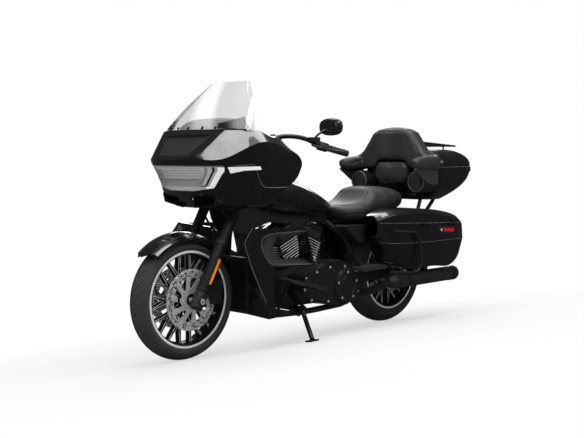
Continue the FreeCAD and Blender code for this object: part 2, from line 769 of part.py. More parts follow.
def rocker_shape(tilt):
    low = 122 + 16 + float(d.fin_pitch * d.fin_count) + 44.3
    wires = []
    for height, share in ((0, 1.0), (20, 1.0), (34, 0.8)):
        half = 72 * share
        points = [Vector(sx * half * 1.05, sy * half * 1.1, low + height)
                  for sx, sy in ((1, 1), (-1, 1), (-1, -1), (1, -1))]
        wires.append(rounded_wire(points, 20))
    shape = loft(wires)
    shape.rotate(Vector(0, 0, 0), Y, tilt)
    shape.translate(CRANK)
    return shape


solid_part("rocker_covers", Part.makeCompound([rocker_shape(22.5), rocker_shape(-22.5)]))

primary_outline = [(150, 300), (136, 398), (40, 426), (-75, 446), (-215, 440), (-326, 400), (-334, 250),
                   (-215, 196), (-60, 214), (90, 240)]
primary = side_plate(primary_outline, 96.5, 226, 46)
derby = Part.makeCylinder(float(d.derby_radius), 12, Vector(-208, 226, 308), Y)
derby_lip = Part.makeCylinder(float(d.derby_radius) + 12, 6, Vector(-208, 226, 308), Y)
solid_part("primary_cover", fused([primary, derby, derby_lip]).cut(cradle_room))

cam_outline = [(150, 240), (168, 330), (120, 420), (20, 436), (-80, 400), (-96, 300), (-40, 226), (60, 214)]
solid_part("cam_cover", side_plate(cam_outline, -150, -96.5, 40))

air_back = Part.makeCylinder(52, 57.7, Vector(22, -140, 560), Y)
air_can = Part.makeCylinder(98, 62, Vector(22, -202, 560), Y)
solid_part("air_cleaner", fused([air_back, air_can]))

FLOW = [Vector(-490, -322, 312)]
front_pipe = bent_tube([Vector(140, -101, 560), Vector(190, -152, 520), Vector(215, -174, 400),
                        Vector(180, -184, 280),
                        Vector(20, -194, 246), Vector(-330, -205, 246)] + FLOW, d.pipe_radius)
rear_pipe = bent_tube([Vector(-110, -101, 560), Vector(-165, -152, 520), Vector(-190, -186, 420),
                       Vector(-230, -198, 252)], d.pipe_radius)
cross_pipe = bent_tube([Vector(-300, -204, 246), Vector(-406, -204, 240), Vector(-406, 0, 232),
                        Vector(-406, 200, 240)] + [Vector(p.x, -p.y, p.z) for p in FLOW], d.pipe_radius, 0.4)
pipe_end = block((-600, -400, 200), (-469.7, 400, 400))
solid_part("exhaust_pipes", fused([front_pipe, rear_pipe, cross_pipe]).cut(pipe_end))


def make_muffler(label, side):
    body = new_body(label)
    r = d.muffler_radius
    points = [(-1144, 0), (-1144, 30), (-1130, r - 6), (-1070, r), (-520, r), (-480, 28), (-470, 26),
              (-470, 0)]
    revolve(body, label + "_turn", points, "X_Axis")
    return keep(body, label, Placement(Vector(0, side, 310), Rotation()))


make_muffler("muffler_left", 318)
make_muffler("muffler_right", -318)

# Tank and seat

TANK = [(398, 62, 820, 905), (340, 118, 775, 938), (220, 158, 745, 944), (80, 166, 728, 915),
        (-60, 150, 715, 865),
        (-180, 112, 706, 814), (-266, 62, 712, 776)]
tank = loft([cross_section(x, w, low, high, 2.7) for x, w, low, high in TANK])
spine_room = slab([Vector(500, -32.3, 935.5), Vector(540, -32.3, 700), Vector(180, -32.3, 700),
                   Vector(-300, -32.3, 640), Vector(-300, -32.3, 701.9), Vector(200, -32.3, 850.4)], 4,
                   Y * 64.6)
solid_part("fuel_tank", tank.cut(spine_room).cut(STEER_ROOM))

CONSOLE = [(262, 34, 951), (200, 46, 958), (80, 50, 930), (-60, 46, 880), (-180, 36, 830), (-240, 24, 802)]
console = loft([cross_section(x, w, top - 34, top, 3.2) for x, w, top in CONSOLE])
solid_part("tank_console", console.cut(tank))

SEAT = [(-266.4, 70, 722, 770), (-340, 140, 668, 772), (-420, 180, 650, 774), (-510, 182, 652, 806),
        (-565, 181, 660, 868), (-700, 176, 690, 866), (-848, 146, 720, 856)]
rear_arch = Vector(REAR.x - 6, 0, REAR.z + 18)
arch_room = rod(rear_arch - Y * 104.3, rear_arch + Y * 104.3, 372.3)
seat = loft([cross_section(x, w, low, high, 3.4) for x, w, low, high in SEAT]).cut(arch_room)
seat = seat.cut(rail_room).cut(mirrored(rail_room)).cut(spine)
solid_part("seat", seat)

cover = side_plate([(-215, 652), (-355, 545), (-420, 545), (-420, 648)], 140, 204, 10)
solid_part("side_covers", both_sides(cover.cut(rail_room).cut(seat)))

# Fairing

FAIRING = [(1188, 884, 392, 560, 2.8), (1133, 888, 397, 446, 2.8), (1081, 889, 402, 392, 2.7),
           (1035, 889, 405, 346, 2.6), (985, 874, 404, 352, 2.4), (940, 856, 400, 380, 2.2),
           (890, 834, 388, 440, 2.1), (838, 796, 366, 505, 2.1), (790, 744, 300, 520, 2.1)]
ROOF = [(915, 1014, 110), (889, 1040, 150), (840, 1090, 188), (790, 1140, 214), (738, 1192, 240),
        (600, 1198, 335), (450, 1198, 316), (300, 1198, 300)]
ROOF_SLOPE = 0.8
ROOF_FOOT = 700


def roof_form(inset):
    """Solid under the wing's top faces; where it meets the walls it leaves the wing's crease."""
    wires = []
    for x, top, half in ROOF:
        foot = half + (top - ROOF_FOOT) * ROOF_SLOPE
        corners = ((half, top), (foot, ROOF_FOOT), (-foot, ROOF_FOOT), (-half, top))
        points = [Vector(x, y - math.copysign(inset, y), z - (inset if z > ROOF_FOOT else 0))
                  for y, z in corners]
        wires.append(rounded_wire(points, 24))
    return loft(wires)


def fairing_form(inset, rear_reach=0):
    walls = loft([plan_section(z, nose - inset, side - inset, rear - 2 * inset - rear_reach, full)
                  for z, nose, side, rear, full in FAIRING])
    return walls.common(roof_form(inset))


fairing_outer = fairing_form(0)
wall = float(d.fairing_wall)
fairing_room = fairing_form(wall, 48)
lamp_front = [(1006, 288), (980, 280), (962, 262), (897, 214), (880, 100)]


def lamp_prism():
    """The headlight's outline, seen from ahead, pushed through the nose."""
    left = [Vector(560, y, z) for z, y in lamp_front]
    right = [Vector(560, -y, z) for z, y in reversed(lamp_front)]
    return slab(left + right, 4, X * 400)


def intake_prism(margin):
    """The dark scoop in the nose's sloping face, pushed out square to the face."""
    low, high = Vector(852, 0, 1044), Vector(748, 0, 1148)
    points = [low - Y * (112 - margin), low + Y * (112 - margin), high + Y * (184 - margin),
              high - Y * (184 - margin)]
    return slab([point + Vector(-30, 0, -30) for point in points], 14, Vector(120, 0, 120))


opening = lamp_prism()
mouth = slab([Vector(560, 60, 800), Vector(560, 190, 822), Vector(560, 200, 858), Vector(560, 48, 850)],
             8, X * 400)
intake = intake_prism(0)
back_opening = block((400, -300, 1080), (640, 300, 1200))
fairing_shell = fairing_outer
for hollow in (fairing_room, opening, intake, mouth, mirrored(mouth), back_opening):
    fairing_shell = fairing_shell.cut(hollow)
solid_part("fairing_shell", fairing_shell)

lens_form = fairing_form(2)
lens_back = fairing_form(5)
solid_part("headlight_lens", lens_form.common(opening).cut(lens_back))
lamp_body = lens_back.common(opening).cut(fairing_form(46))
bowls = [slab([Vector(560, -y, low), Vector(560, y, low), Vector(560, y + lean, high),
               Vector(560, -y - lean, high)], 6, X * 400).cut(fairing_form(26))
         for y, lean, low, high in ((150, 26, 900, 934), (186, 24, 944, 988))]
lamp_body = lamp_body.cut(bowls[0]).cut(bowls[1])
solid_part("headlight", lamp_body)
tray = lens_form.common(intake).cut(fairing_form(20))
tray = tray.cut(intake_prism(8).cut(fairing_form(13)))

dash_form = fairing_room.common(block((510, -340, 1010), (760, 340, 1188))).cut(STEER_ROOM)
dash_form = dash_form.cut(intake).cut(rod(STAY[0], STAY[1] + (STAY[1] - STAY[0]) * 0.01, 14 + FIT))
solid_part("fairing_inner", dash_form)

visor = loft([plan_section(z, nose, side, 575, 2.6) for z, nose, side in
              ((1188.3, 690, 270), (1225, 670, 235), (1250, 640, 160), (1257, 610, 90))])
solid_part("gauge_visor", Part.makeCompound([visor, tray]))


def screen_section(level, nose, side, rear, bow=2.2):
    outer, inner = [], []
    t = float(d.screen_wall)
    for i in range(-6, 7):
        a, s = superellipse(90 * i / 6, nose - rear, side, bow)
        outer.append(Vector(rear + a, s, level))
        a, s = superellipse(90 * i / 6, nose - rear - t, side - t, bow)
        inner.append(Vector(rear + a, s, level))
    front, back = Part.BSplineCurve(), Part.BSplineCurve()
    front.interpolate(outer)
    back.interpolate(inner)
    return Part.Wire([front.toShape(), Part.LineSegment(outer[-1], inner[-1]).toShape(), back.toShape(),
                      Part.LineSegment(inner[0], outer[0]).toShape()])


screen = loft([screen_section(z, nose, side, rear) for z, nose, side, rear in
               ((1188.3, 730, 342, 620), (1275, 678, 290, 575), (1370, 592, 222, 520),
                (1452, 508, 150, 474))])
solid_part("windshield", screen)

# Lowers


SHIELD_FRONT = [(600, 690), (660, 622), (617, 507), (560, 400), (503, 298), (482, 206)]
SHIELD_INNER = [(505, 668), (508, 620), (488, 507), (480, 400), (478, 298), (478, 212)]
RECESS = [(484, 650), (536, 594), (475, 501), (386, 485), (156, 471), (205, 655)]
DUCT = [(350, 628), (380, 580), (350, 516), (300, 505), (150, 500), (160, 620)]
SHIELD_SIDE = 302


def ruled(wires):
    return Part.makeLoft(wires, True, True)


def closed(points):
    return Part.makePolygon(points + points[:1])


def strip(edge, side, depth):
    """Band of an edge seen from the side, as deep as given, towards the rear."""
    back = [Vector(x - depth, side, z) for x, z in reversed(edge)]
    return closed([Vector(x, side, z) for x, z in edge] + back)


def grown(points, side, margin):
    """An (ahead, up) outline grown by a margin away from its middle."""
    middle = Vector(sum(x for x, z in points), 0, sum(z for x, z in points)) * (1 / len(points))
    moved = []
    for x, z in points:
        out = Vector(x, 0, z) - middle
        moved.append(Vector(x, side, z) + out.normalize() * margin)
    return closed(moved)


def lower_shape():
    """Leg shield: a front flange, a side face with a hexagonal recess, and the duct inside it."""
    plate = 10
    middle = SHIELD_SIDE - plate / 2
    flange = ruled([strip(SHIELD_FRONT, middle, 12), strip(SHIELD_INNER, 142, 12)])
    face_outline = SHIELD_FRONT + [(366, 212), (366, 240), (430, 254), (448, 300), (440, 470), (386, 473),
                                   (140, 459),
                                   (140, 474), (196, 668), (256, 676), (536, 684)]
    face = side_plate(face_outline, SHIELD_SIDE - plate, SHIELD_SIDE, 5)
    face = face.cut(side_plate(RECESS, SHIELD_SIDE - 40, SHIELD_SIDE + 20, 12))
    duct = ruled([grown(RECESS, middle, 6), grown(DUCT, 196, 6)])
    duct = duct.cut(ruled([grown(RECESS, middle, 0), grown(DUCT, 196, 0)]))
    floor_corners = [Vector(478, 143, 214), Vector(478, middle, 214), Vector(378, middle, 214),
                     Vector(396, 170, 214)]
    floor = slab(floor_corners, 4, Z * 16)
    brackets = [rod(Vector(435, 70, 600), Vector(508, 165, 600), 9),
                rod(Vector(403, 118, 330), Vector(472, 168, 330), 9)]
    return fused([flange, face, duct, floor] + [bracket.cut(cradle_room) for bracket in brackets])


def radiator_shape():
    """Cooler between the down tubes: a frame, a core and its slats."""
    core = block((446, -124, 226), (460, 124, 502))
    border = block((446, -138, 212), (476, 138, 514)).cut(block((455, -120, 232), (480, 120, 494)))
    slats = [block((455, -122, 240 + 18 * i), (470, 122, 244 + 18 * i)) for i in range(14)]
    lug = block((424, 84, 462), (448, 104, 482)).cut(cradle_room)
    return fused([core, border, lug, mirrored(lug)] + slats)


solid_part("radiator", radiator_shape())

lower_left = lower_shape()
solid_part("lower_left", lower_left)
solid_part("lower_right", mirrored(lower_left))

# Saddlebags

BAG = [(-316, 234, 284, 636, 676), (-380, 220, 322, 580, 706), (-460, 208, 352, 480, 730),
       (-570, 192, 376, 392, 740),
       (-700, 188, 396, 377, 740), (-900, 188, 404, 377, 722), (-1060, 188, 400, 384, 690),
       (-1140, 196, 386, 446, 650)]
BAG_CREASE = 538


def bag_section(x, inner, outer, low, high, inset=0):
    """Bag cut across its length: tucked in below the crease and crowned above the seam."""
    crease = min(max(BAG_CREASE, low + 24), high - 50) if high - low > 80 else low + (high - low) * 0.4
    tuck = min(26, (high - low) * 0.25)
    crown = min(34, (outer - inner) * 0.3)
    points = [Vector(x, inner + inset, low + inset), Vector(x, outer - tuck - inset, low + inset),
              Vector(x, outer - inset, crease), Vector(x, outer - 6 - inset, high - inset - tuck),
              Vector(x, outer - crown - inset, high - inset), Vector(x, inner + inset, high - inset)]
    return rounded_wire(points, 12 - inset)


bag_form = loft([bag_section(*row) for row in BAG])
t = float(d.bag_wall)
bag_room = loft([bag_section(x + shift, inner, outer, low, high, t) for (x, inner, outer, low, high), shift in
                 zip(BAG, [-t] + [0] * (len(BAG) - 2) + [t])])
SEAM_FRONT, SEAM_REAR = 660, 630


def seam_block(gap, above):
    """Everything above, or below, the sloping line where the lid meets the bag."""
    lift = gap if above else 0
    a = [(-380, SEAM_FRONT + lift), (-1200, SEAM_REAR + lift)]
    far = 900 if above else 200
    points = [Vector(a[0][0], 100, a[0][1]), Vector(a[1][0], 100, a[1][1]), Vector(-1200, 100, far),
              Vector(-380, 100, far)]
    return Part.Face(Part.makePolygon(points + points[:1])).extrude(Y * 400)


KNUCKLE = 5
KNUCKLE_PIN = 2
LINK = 10.5


def tab(centre, along, low, high, inward, start, stop):
    corners = [centre + along * low + Z * start, centre + along * high + Z * start,
               centre + along * high + Z * stop, centre + along * low + Z * stop]
    return slab(corners, 0.4, inward * 12)


def hinge_leaf(centre, along, inward, moving):
    """Lid side of a hinge is the bored middle knuckle; the other side is the pin and two end knuckles."""
    if moving:
        knuckle = rod(centre - along * LINK, centre + along * LINK, KNUCKLE)
        knuckle = knuckle.fuse(tab(centre, along, -LINK, LINK, inward, 1.6, 12))
        return knuckle.cut(rod(centre - along * 40, centre + along * 40, KNUCKLE_PIN + GAP))
    pieces = [rod(centre - along * 34, centre + along * 34, KNUCKLE_PIN)]
    for low, high in ((-34, -LINK - 1), (LINK + 1, 34)):
        pieces.append(rod(centre + along * low, centre + along * high, KNUCKLE))
        pieces.append(tab(centre, along, low, high, inward, -12, -1.6))
    return fused(pieces)


SEAM_ALONG = Vector(-380 + 1200, 0, SEAM_FRONT - SEAM_REAR).normalize()
BAG_HINGE_SIDE = 408
BAG_HINGE = Vector(-800, BAG_HINGE_SIDE, SEAM_FRONT - 420 * (SEAM_FRONT - SEAM_REAR) / 820 + 0.5)
bag_hinges = [BAG_HINGE - SEAM_ALONG * 200, BAG_HINGE + SEAM_ALONG * 60]
bag = bag_form.common(seam_block(0, False))
lid = bag_form.common(seam_block(float(d.lid_gap), True))
bag = fused([bag] + [hinge_leaf(at, SEAM_ALONG, -Y, False) for at in bag_hinges]).cut(bag_room)
lid = fused([lid] + [hinge_leaf(at, SEAM_ALONG, -Y, True) for at in bag_hinges]).cut(bag_room)
solid_part("saddlebag_left", bag)
solid_part("saddlebag_right", mirrored(bag))
solid_part("bag_lid_left", lid)
solid_part("bag_lid_right", mirrored(lid))

# Rear fender, lamp, swingarm

rear_fender = fender_shape(rear_arch, 372, 104, 300, 62, 128, float(d.fender_wall))
solid_part("rear_fender", rear_fender)
lamp = block((-1216, -70, 540), (-1186, 70, 580))
plate = block((-1212, -90, 400), (-1208, 90, 510))
lamp_stay = block((-1190, -24, 548), (-1100, 24, 572)).cut(arch_room)
solid_part("tail_lamp", fused([lamp, plate, lamp_stay, block((-1210, -20, 500), (-1190, 20, 545))]))

arm = slab([Vector(-396, 112, 352), Vector(-396, 112, 300), Vector(-850, 112, 300),
            Vector(-850, 112, 352)], 12,
           Y * 36)
arm = arm.cut(Part.makeCylinder(float(d.axle_radius), 60, Vector(REAR.x, 100, REAR.z), Y))
bridge = block((-470, -148, 304), (-430, 148, 346))
arm_room = [cradle_room, mirrored(cradle_room), rod(pivot_cross[0], pivot_cross[1], d.frame_tube + FIT)]
swingarm = fused([arm, mirrored(arm), bridge])
for shape in arm_room:
    swingarm = swingarm.cut(shape)
solid_part("swingarm", swingarm)
shock_top = Vector(-520, 163, 626)
shock = fused([rod(Vector(-700, 166, 330), Vector(-560, 166, 560), 17),
               rod(Vector(-560, 166, 560), shock_top, 11),
               rod(Vector(-700, 148.3, 330), Vector(-700, 184, 330), 18)]).cut(rail_room)
solid_part("shock_absorbers", both_sides(shock))
caliper = block((-44, -24, -30), (44, 24, 30)).cut(block((-60, -8, -50), (60, 8, 12)))
caliper.rotate(Vector(0, 0, 0), Y, 55)
reach = float(d.rear_disc_radius) - 4
caliper_at = Vector(REAR.x + reach * cosine(35), -float(d.rear_hub_half) - 3, REAR.z + reach * sine(35))
caliper.translate(caliper_at)
caliper_stay = block((-720, -122, 352.3), (-672, -104, 420))
solid_part("rear_caliper", fused([caliper, caliper_stay]))

# Top case, backrest

CASE = [(776, -985, -1215, 200), (840, -955, -1320, 262), (900, -942, -1392, 286), (988, -935, -1425, 292)]


def case_section(z, front, rear, half, inset=0):
    points = [Vector(front - inset, half - inset, z), Vector(rear + inset, half - inset, z),
              Vector(rear + inset, -half + inset, z), Vector(front - inset, -half + inset, z)]
    corner = Part.Wire(rounded_wire(points, 110 - inset))
    return corner


case_form = loft([case_section(*row) for row in CASE])
w = float(d.case_wall)
case_room = loft([case_section(z + lift, a, b, h, w) for (z, a, b, h), lift in zip(CASE, (w, 0, 0, 4))])
LID = [(989, -990, -1425, 292), (1020, -992, -1422, 288), (1062, -1002, -1385, 262),
       (1092, -1020, -1290, 210)]
lid_form = loft([case_section(*row) for row in LID])
lid_room = loft([case_section(z + lift, a, b, h, w) for (z, a, b, h), lift in zip(LID, (-4, 0, -w, -w))])
CASE_HINGE = Vector(-1200, -300, 988.5)
case_hinges = [CASE_HINGE + X * 70, CASE_HINGE - X * 70]
case_leaves = [hinge_leaf(at, X, Y, False) for at in case_hinges]
lid_leaves = [hinge_leaf(at, X, Y, True) for at in case_hinges]
solid_part("top_case", fused([case_form] + case_leaves).cut(case_room))
solid_part("top_case_lid", fused([lid_form] + lid_leaves).cut(lid_room))

rack_bars = [rod(Vector(-997, y, 1142), Vector(-1380, y, 1118), 6) for y in (-150, -50, 50, 150)]
rack_bars += [rod(Vector(x, -162, z), Vector(x, 162, z), 5) for x, z in ((-1006, 1141.4), (-1370, 1118.6))]
rack_posts = [rod(Vector(x, y, 1092.3), Vector(x, y, z), 5) for x, z in ((-1060, 1137), (-1250, 1125))
              for y in (-150, 150)]
solid_part("luggage_rack", fused(rack_bars + rack_posts))

pad_front = [(-120, 1238), (120, 1238), (168, 1212), (246, 1104), (292, 1058), (330, 1046), (330, 968),
             (150, 968),
             (118, 1012), (-118, 1012), (-150, 968), (-330, 968), (-330, 1046), (-292, 1058),
             (-246, 1104), (-168, 1212)]
back_pad = slab([Vector(-985, y, z) for y, z in pad_front], 16, X * 96)
ARM_REST = [(-990, 238, 334, 966, 1052), (-880, 240, 334, 966, 1054), (-800, 250, 332, 972, 1048),
            (-750, 268, 326, 984, 1032),
            (-736, 284, 316, 996, 1018)]
arm_rest = loft([rounded_wire([Vector(x, inner, low), Vector(x, outer, low), Vector(x, outer, high),
                               Vector(x, inner, high)],
                              14) for x, inner, outer, low, high in ARM_REST])
lumbar = slab([Vector(-960, y, z) for y, z in ((-96, 880), (96, 880), (128, 912), (128, 990), (104, 1016),
                                               (-104, 1016),
                                               (-128, 990), (-128, 912))], 12, X * 82)
backrest = fused([back_pad, arm_rest, mirrored(arm_rest), lumbar]).cut(case_form)
solid_part("backrest", backrest)
pod = Part.makeCylinder(66, 130, Vector(-984, 232, 893), X).cut(case_form).cut(arm_rest)
solid_part("speaker_pods", both_sides(pod))

# Footboards and stand

def eye(centre, along, half):
    """Hinge eye on its pin, with a neck out to the board."""
    knuckle = rod(centre - along * half, centre + along * half, PIN + 7)
    return knuckle.fuse(rod(centre, centre + Y * 26, 9))


def pin_hole(centre, along):
    return rod(centre - along * 60, centre + along * 60, PIN + GAP)


board = side_plate([(400, 410), (392, 418), (345, 400), (90, 330), (96, 322), (350, 388)], 262, 372, 4)
board = fused([board, eye(BOARD_HINGE, BOARD_ALONG, 26)]).cut(pin_hole(BOARD_HINGE, BOARD_ALONG))
solid_part("floorboard_left", board)
solid_part("floorboard_right", mirrored(board))
rest_board = block((-420, 274, 402), (-200, 360, 420))
rest_board = fused([rest_board, eye(PASSENGER_HINGE, X, 20)]).cut(pin_hole(PASSENGER_HINGE, X))
solid_part("passenger_board_left", rest_board)
solid_part("passenger_board_right", mirrored(rest_board))

stand_leg = rod(STAND_PIVOT, FOOT + Z * 12, d.stand_radius)
stand_eye = rod(STAND_PIVOT - STAND_AXIS * 14, STAND_PIVOT + STAND_AXIS * 14, 20)
foot_pad = block((-34, -20, 0), (34, 20, 9))
foot_pad.rotate(Vector(0, 0, 0), X, float(d.lean_angle))
foot_pad.translate(FOOT)
solid_part("side_stand", fused([stand_leg, stand_eye, foot_pad]).cut(pin_hole(STAND_PIVOT, STAND_AXIS)))

# Check and export

doc.recompute()
failed = [o.Label for o in doc.Objects if {"Invalid", "Error"} & set(o.State)]
empty = [o.Label for o in sub_parts if o.Shape.isNull() or not o.Shape.isValid() or not o.Shape.Solids]
if failed or empty:
    raise RuntimeError("failed: %s, not solid: %s" % (failed, empty))
os.makedirs("parts", exist_ok=True)
box = FreeCAD.BoundBox()
for obj in sub_parts:
    obj.Shape.exportStep("parts/%s.step" % obj.Label)
    box.add(obj.Shape.BoundBox)
    print("%-22s solids %d  volume %.0f cm3" % (obj.Label, len(obj.Shape.Solids), obj.Shape.Volume / 1000))
print("sub-parts", len(sub_parts), "box", box)
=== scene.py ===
"""Looks of the touring cruiser: materials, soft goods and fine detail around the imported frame.

Pieces are drawn upright in the motorcycle's own frame, in millimetres: +X ahead, +Y to the
rider's left, +Z up, origin on the ground midway between the axles. TO_ROW leans them onto the
stand in the shared frame, in metres.
"""
import json
import math
import bmesh
import bpy
from mathutils import Matrix, Vector
from mathutils.bvhtree import BVHTree


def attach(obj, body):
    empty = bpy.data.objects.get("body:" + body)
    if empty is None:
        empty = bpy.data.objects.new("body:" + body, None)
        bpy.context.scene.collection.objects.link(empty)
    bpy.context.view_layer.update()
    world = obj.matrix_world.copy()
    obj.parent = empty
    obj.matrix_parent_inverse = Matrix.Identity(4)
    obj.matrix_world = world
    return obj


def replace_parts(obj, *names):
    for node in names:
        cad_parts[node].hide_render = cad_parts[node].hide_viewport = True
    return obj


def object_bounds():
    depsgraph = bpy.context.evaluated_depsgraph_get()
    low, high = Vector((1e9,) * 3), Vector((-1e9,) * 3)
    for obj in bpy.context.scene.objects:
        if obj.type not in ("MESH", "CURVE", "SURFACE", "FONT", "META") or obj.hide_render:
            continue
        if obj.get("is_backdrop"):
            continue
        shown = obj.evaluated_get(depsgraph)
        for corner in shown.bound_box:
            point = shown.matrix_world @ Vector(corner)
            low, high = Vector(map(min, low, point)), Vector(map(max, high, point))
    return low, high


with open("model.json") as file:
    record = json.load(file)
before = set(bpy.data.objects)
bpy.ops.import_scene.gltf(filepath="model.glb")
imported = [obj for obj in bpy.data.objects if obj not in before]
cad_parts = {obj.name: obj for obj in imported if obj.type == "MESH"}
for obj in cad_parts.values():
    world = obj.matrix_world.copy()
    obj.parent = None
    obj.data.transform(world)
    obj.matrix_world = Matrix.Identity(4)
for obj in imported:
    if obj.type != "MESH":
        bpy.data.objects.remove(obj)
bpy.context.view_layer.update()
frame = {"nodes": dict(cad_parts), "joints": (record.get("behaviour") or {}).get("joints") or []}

SCALE = 0.001
X, Y, Z = Vector((1, 0, 0)), Vector((0, 1, 0)), Vector((0, 0, 1))
SIDES = (1, -1)
JOINTS = {j["name"]: j for j in frame["joints"]}
AXLE = Vector(JOINTS["front_wheel_spin"]["axis"])
LEAN = math.asin(-AXLE.z)
FRONT_ROW = Vector(JOINTS["front_wheel_spin"]["pos_m"])
REAR_ROW = Vector(JOINTS["rear_wheel_spin"]["pos_m"])
SHIFT = Vector(((FRONT_ROW.x + REAR_ROW.x) / 2, FRONT_ROW.y - FRONT_ROW.z * math.tan(LEAN), 0))
TO_ROW = Matrix.Translation(SHIFT) @ Matrix.Rotation(-LEAN, 4, "X")
FRONT_MM = TO_ROW.inverted() @ FRONT_ROW / SCALE
REAR_MM = TO_ROW.inverted() @ REAR_ROW / SCALE


# Materials

def shader_of(material):
    return material.node_tree.nodes["Principled BSDF"]


def new_material(name, base, roughness=0.5, metallic=0.0, coat=0.0, coat_roughness=0.03, **inputs):
    material = bpy.data.materials.new(name)
    material.use_nodes = True
    inputs.update({"Base Color": (*base, 1), "Roughness": roughness, "Metallic": metallic,
                   "Coat Weight": coat, "Coat Roughness": coat_roughness})
    for key, value in inputs.items():
        shader_of(material).inputs[key].default_value = value
    return material


def add_node(material, kind, **settings):
    node = material.node_tree.nodes.new(kind)
    for key, value in settings.items():
        setattr(node, key, value)
    return node


def link(material, start, end):
    material.node_tree.links.new(start, end)


def set_inputs(node, **values):
    for key, value in values.items():
        node.inputs[key.replace("_", " ")].default_value = value


def object_place(material):
    return add_node(material, "ShaderNodeTexCoord").outputs["Object"]


def ramp(material, source, stops):
    """Turns a 0 to 1 source into (place, grey level or colour) stops."""
    node = add_node(material, "ShaderNodeValToRGB")
    while len(node.color_ramp.elements) < len(stops):
        node.color_ramp.elements.new(0.5)
    for element, (at, value) in zip(node.color_ramp.elements, stops):
        element.position = at
        element.color = (*value, 1) if isinstance(value, tuple) else (value, value, value, 1)
    link(material, source, node.inputs[0])
    return node.outputs[0]


def noise(material, scale, detail=3.0, roughness=0.5, stretch=(1, 1, 1)):
    turn = add_node(material, "ShaderNodeMapping")
    set_inputs(turn, Scale=stretch)
    link(material, object_place(material), turn.inputs[0])
    node = add_node(material, "ShaderNodeTexNoise")
    set_inputs(node, Scale=scale, Detail=detail, Roughness=roughness)
    link(material, turn.outputs[0], node.inputs["Vector"])
    return node.outputs["Fac"]


def cells(material, scale):
    node = add_node(material, "ShaderNodeTexVoronoi")
    set_inputs(node, Scale=scale)
    link(material, object_place(material), node.inputs["Vector"])
    return node.outputs["Distance"]


def bump(material, height, strength, distance):
    node = add_node(material, "ShaderNodeBump")
    set_inputs(node, Strength=strength, Distance=distance)
    link(material, height, node.inputs["Height"])
    link(material, node.outputs[0], shader_of(material).inputs["Normal"])
    return material


def vary(material, socket, source, low, high):
    link(material, ramp(material, source, ((0.3, low), (0.7, high))), shader_of(material).inputs[socket])
    return material


def vary_colour(material, base, scale, dark, light):
    vary(material, "Base Color", noise(material, scale), tuple(c * dark for c in base),
         tuple(c * light for c in base))


def paint(name, base):
    """Gloss paint under clear coat."""
    material = new_material(name, base, roughness=0.3, coat=1.0, coat_roughness=0.02)
    return vary(material, "Roughness", noise(material, 20), 0.24, 0.36)


def satin(name, base, roughness, grain=180, depth=0.12, metallic=0.0):
    """Powder coat or moulded plastic with a fine grain."""
    material = new_material(name, base, roughness, metallic)
    vary(material, "Roughness", noise(material, 14), roughness - 0.06, roughness + 0.08)
    return bump(material, noise(material, grain, 4), depth, 0.0006)


def leather(name, base):
    material = new_material(name, base)
    vary_colour(material, base, 9, 0.8, 1.3)
    vary(material, "Roughness", noise(material, 30), 0.44, 0.58)
    return bump(material, cells(material, 900), 0.35, 0.0007)


def rubber(name, base, roughness=0.72):
    material = new_material(name, base, roughness)
    vary_colour(material, base, 7, 0.85, 1.2)
    vary(material, "Roughness", noise(material, 40), roughness - 0.08, roughness + 0.1)
    return bump(material, noise(material, 420, 3), 0.15, 0.0005)


def brushed(name, base, roughness=0.26, metallic=0.35):
    """Metal under a soft haze, so that it stays pale where the studio around it is dark."""
    material = new_material(name, base, roughness, metallic)
    streaks = noise(material, 30, 4, 0.6, (18, 0.6, 18))
    vary(material, "Roughness", streaks, roughness - 0.06, roughness + 0.1)
    return bump(material, streaks, 0.05, 0.0003)


def thin_glass(name, base, cover):
    """Clear moulding: light goes straight through, and cover is how much the sheet itself shows."""
    material = new_material(name, base, roughness=0.08, coat=1.0, Alpha=cover)
    return vary(material, "Roughness", noise(material, 14), 0.06, 0.1)


def painted_reflection_screen(name, grey, white, cover):
    """Windshield sheet with a painted reflection: a pale slanting band down its middle."""
    material = thin_glass(name, grey, cover)
    split = add_node(material, "ShaderNodeSeparateXYZ")
    link(material, object_place(material), split.inputs[0])
    slant = add_node(material, "ShaderNodeMath", operation="MULTIPLY_ADD")
    slant.inputs[1].default_value = 0.42
    link(material, split.outputs["Z"], slant.inputs[0])
    link(material, split.outputs["Y"], slant.inputs[2])
    fit = add_node(material, "ShaderNodeMapRange")
    set_inputs(fit, From_Min=0.1, From_Max=0.9)
    link(material, slant.outputs[0], fit.inputs["Value"])
    # The white stops paint a reflection band onto the sheet's grey.
    stops = ((0.0, grey), (0.45, grey), (0.54, white), (0.66, white), (0.72, grey))
    link(material, ramp(material, fit.outputs[0], stops), shader_of(material).inputs["Base Color"])
    return material


GLOSS = paint("gloss_black", (0.004, 0.004, 0.005))
SATIN = satin("satin_black", (0.012, 0.012, 0.013), 0.38)
MATTE = satin("matte_black", (0.014, 0.014, 0.015), 0.58, 240, 0.2)
ENGINE = satin("wrinkle_black", (0.016, 0.016, 0.018), 0.5, 520, 0.45)
METAL_BLACK = satin("satin_metal_black", (0.02, 0.02, 0.022), 0.32, 90, 0.05, 0.6)
COVER = satin("cover_black", (0.01, 0.01, 0.011), 0.24, 160, 0.06)
EXHAUST = satin("exhaust_black", (0.014, 0.014, 0.015), 0.34, 60, 0.05)
TYRE = rubber("tyre_rubber", (0.03, 0.03, 0.032))
RUBBER = rubber("grip_rubber", (0.016, 0.016, 0.017), 0.6)
LEATHER = leather("seat_leather", (0.024, 0.024, 0.026))
STEEL = brushed("brushed_steel", (0.5, 0.51, 0.52), 0.34)
BRIGHT = brushed("machined_alloy", (0.86, 0.87, 0.88), 0.3, 0.2)
# Windshield glass whose pale band is a painted reflection.
SCREEN_WITH_PAINTED_REFLECTION = painted_reflection_screen("screen_painted_reflection", (0.42, 0.43, 0.44), (1.0, 1.0, 1.0), 0.34)
LENS = thin_glass("lamp_lens", (0.8, 0.81, 0.82), 0.16)
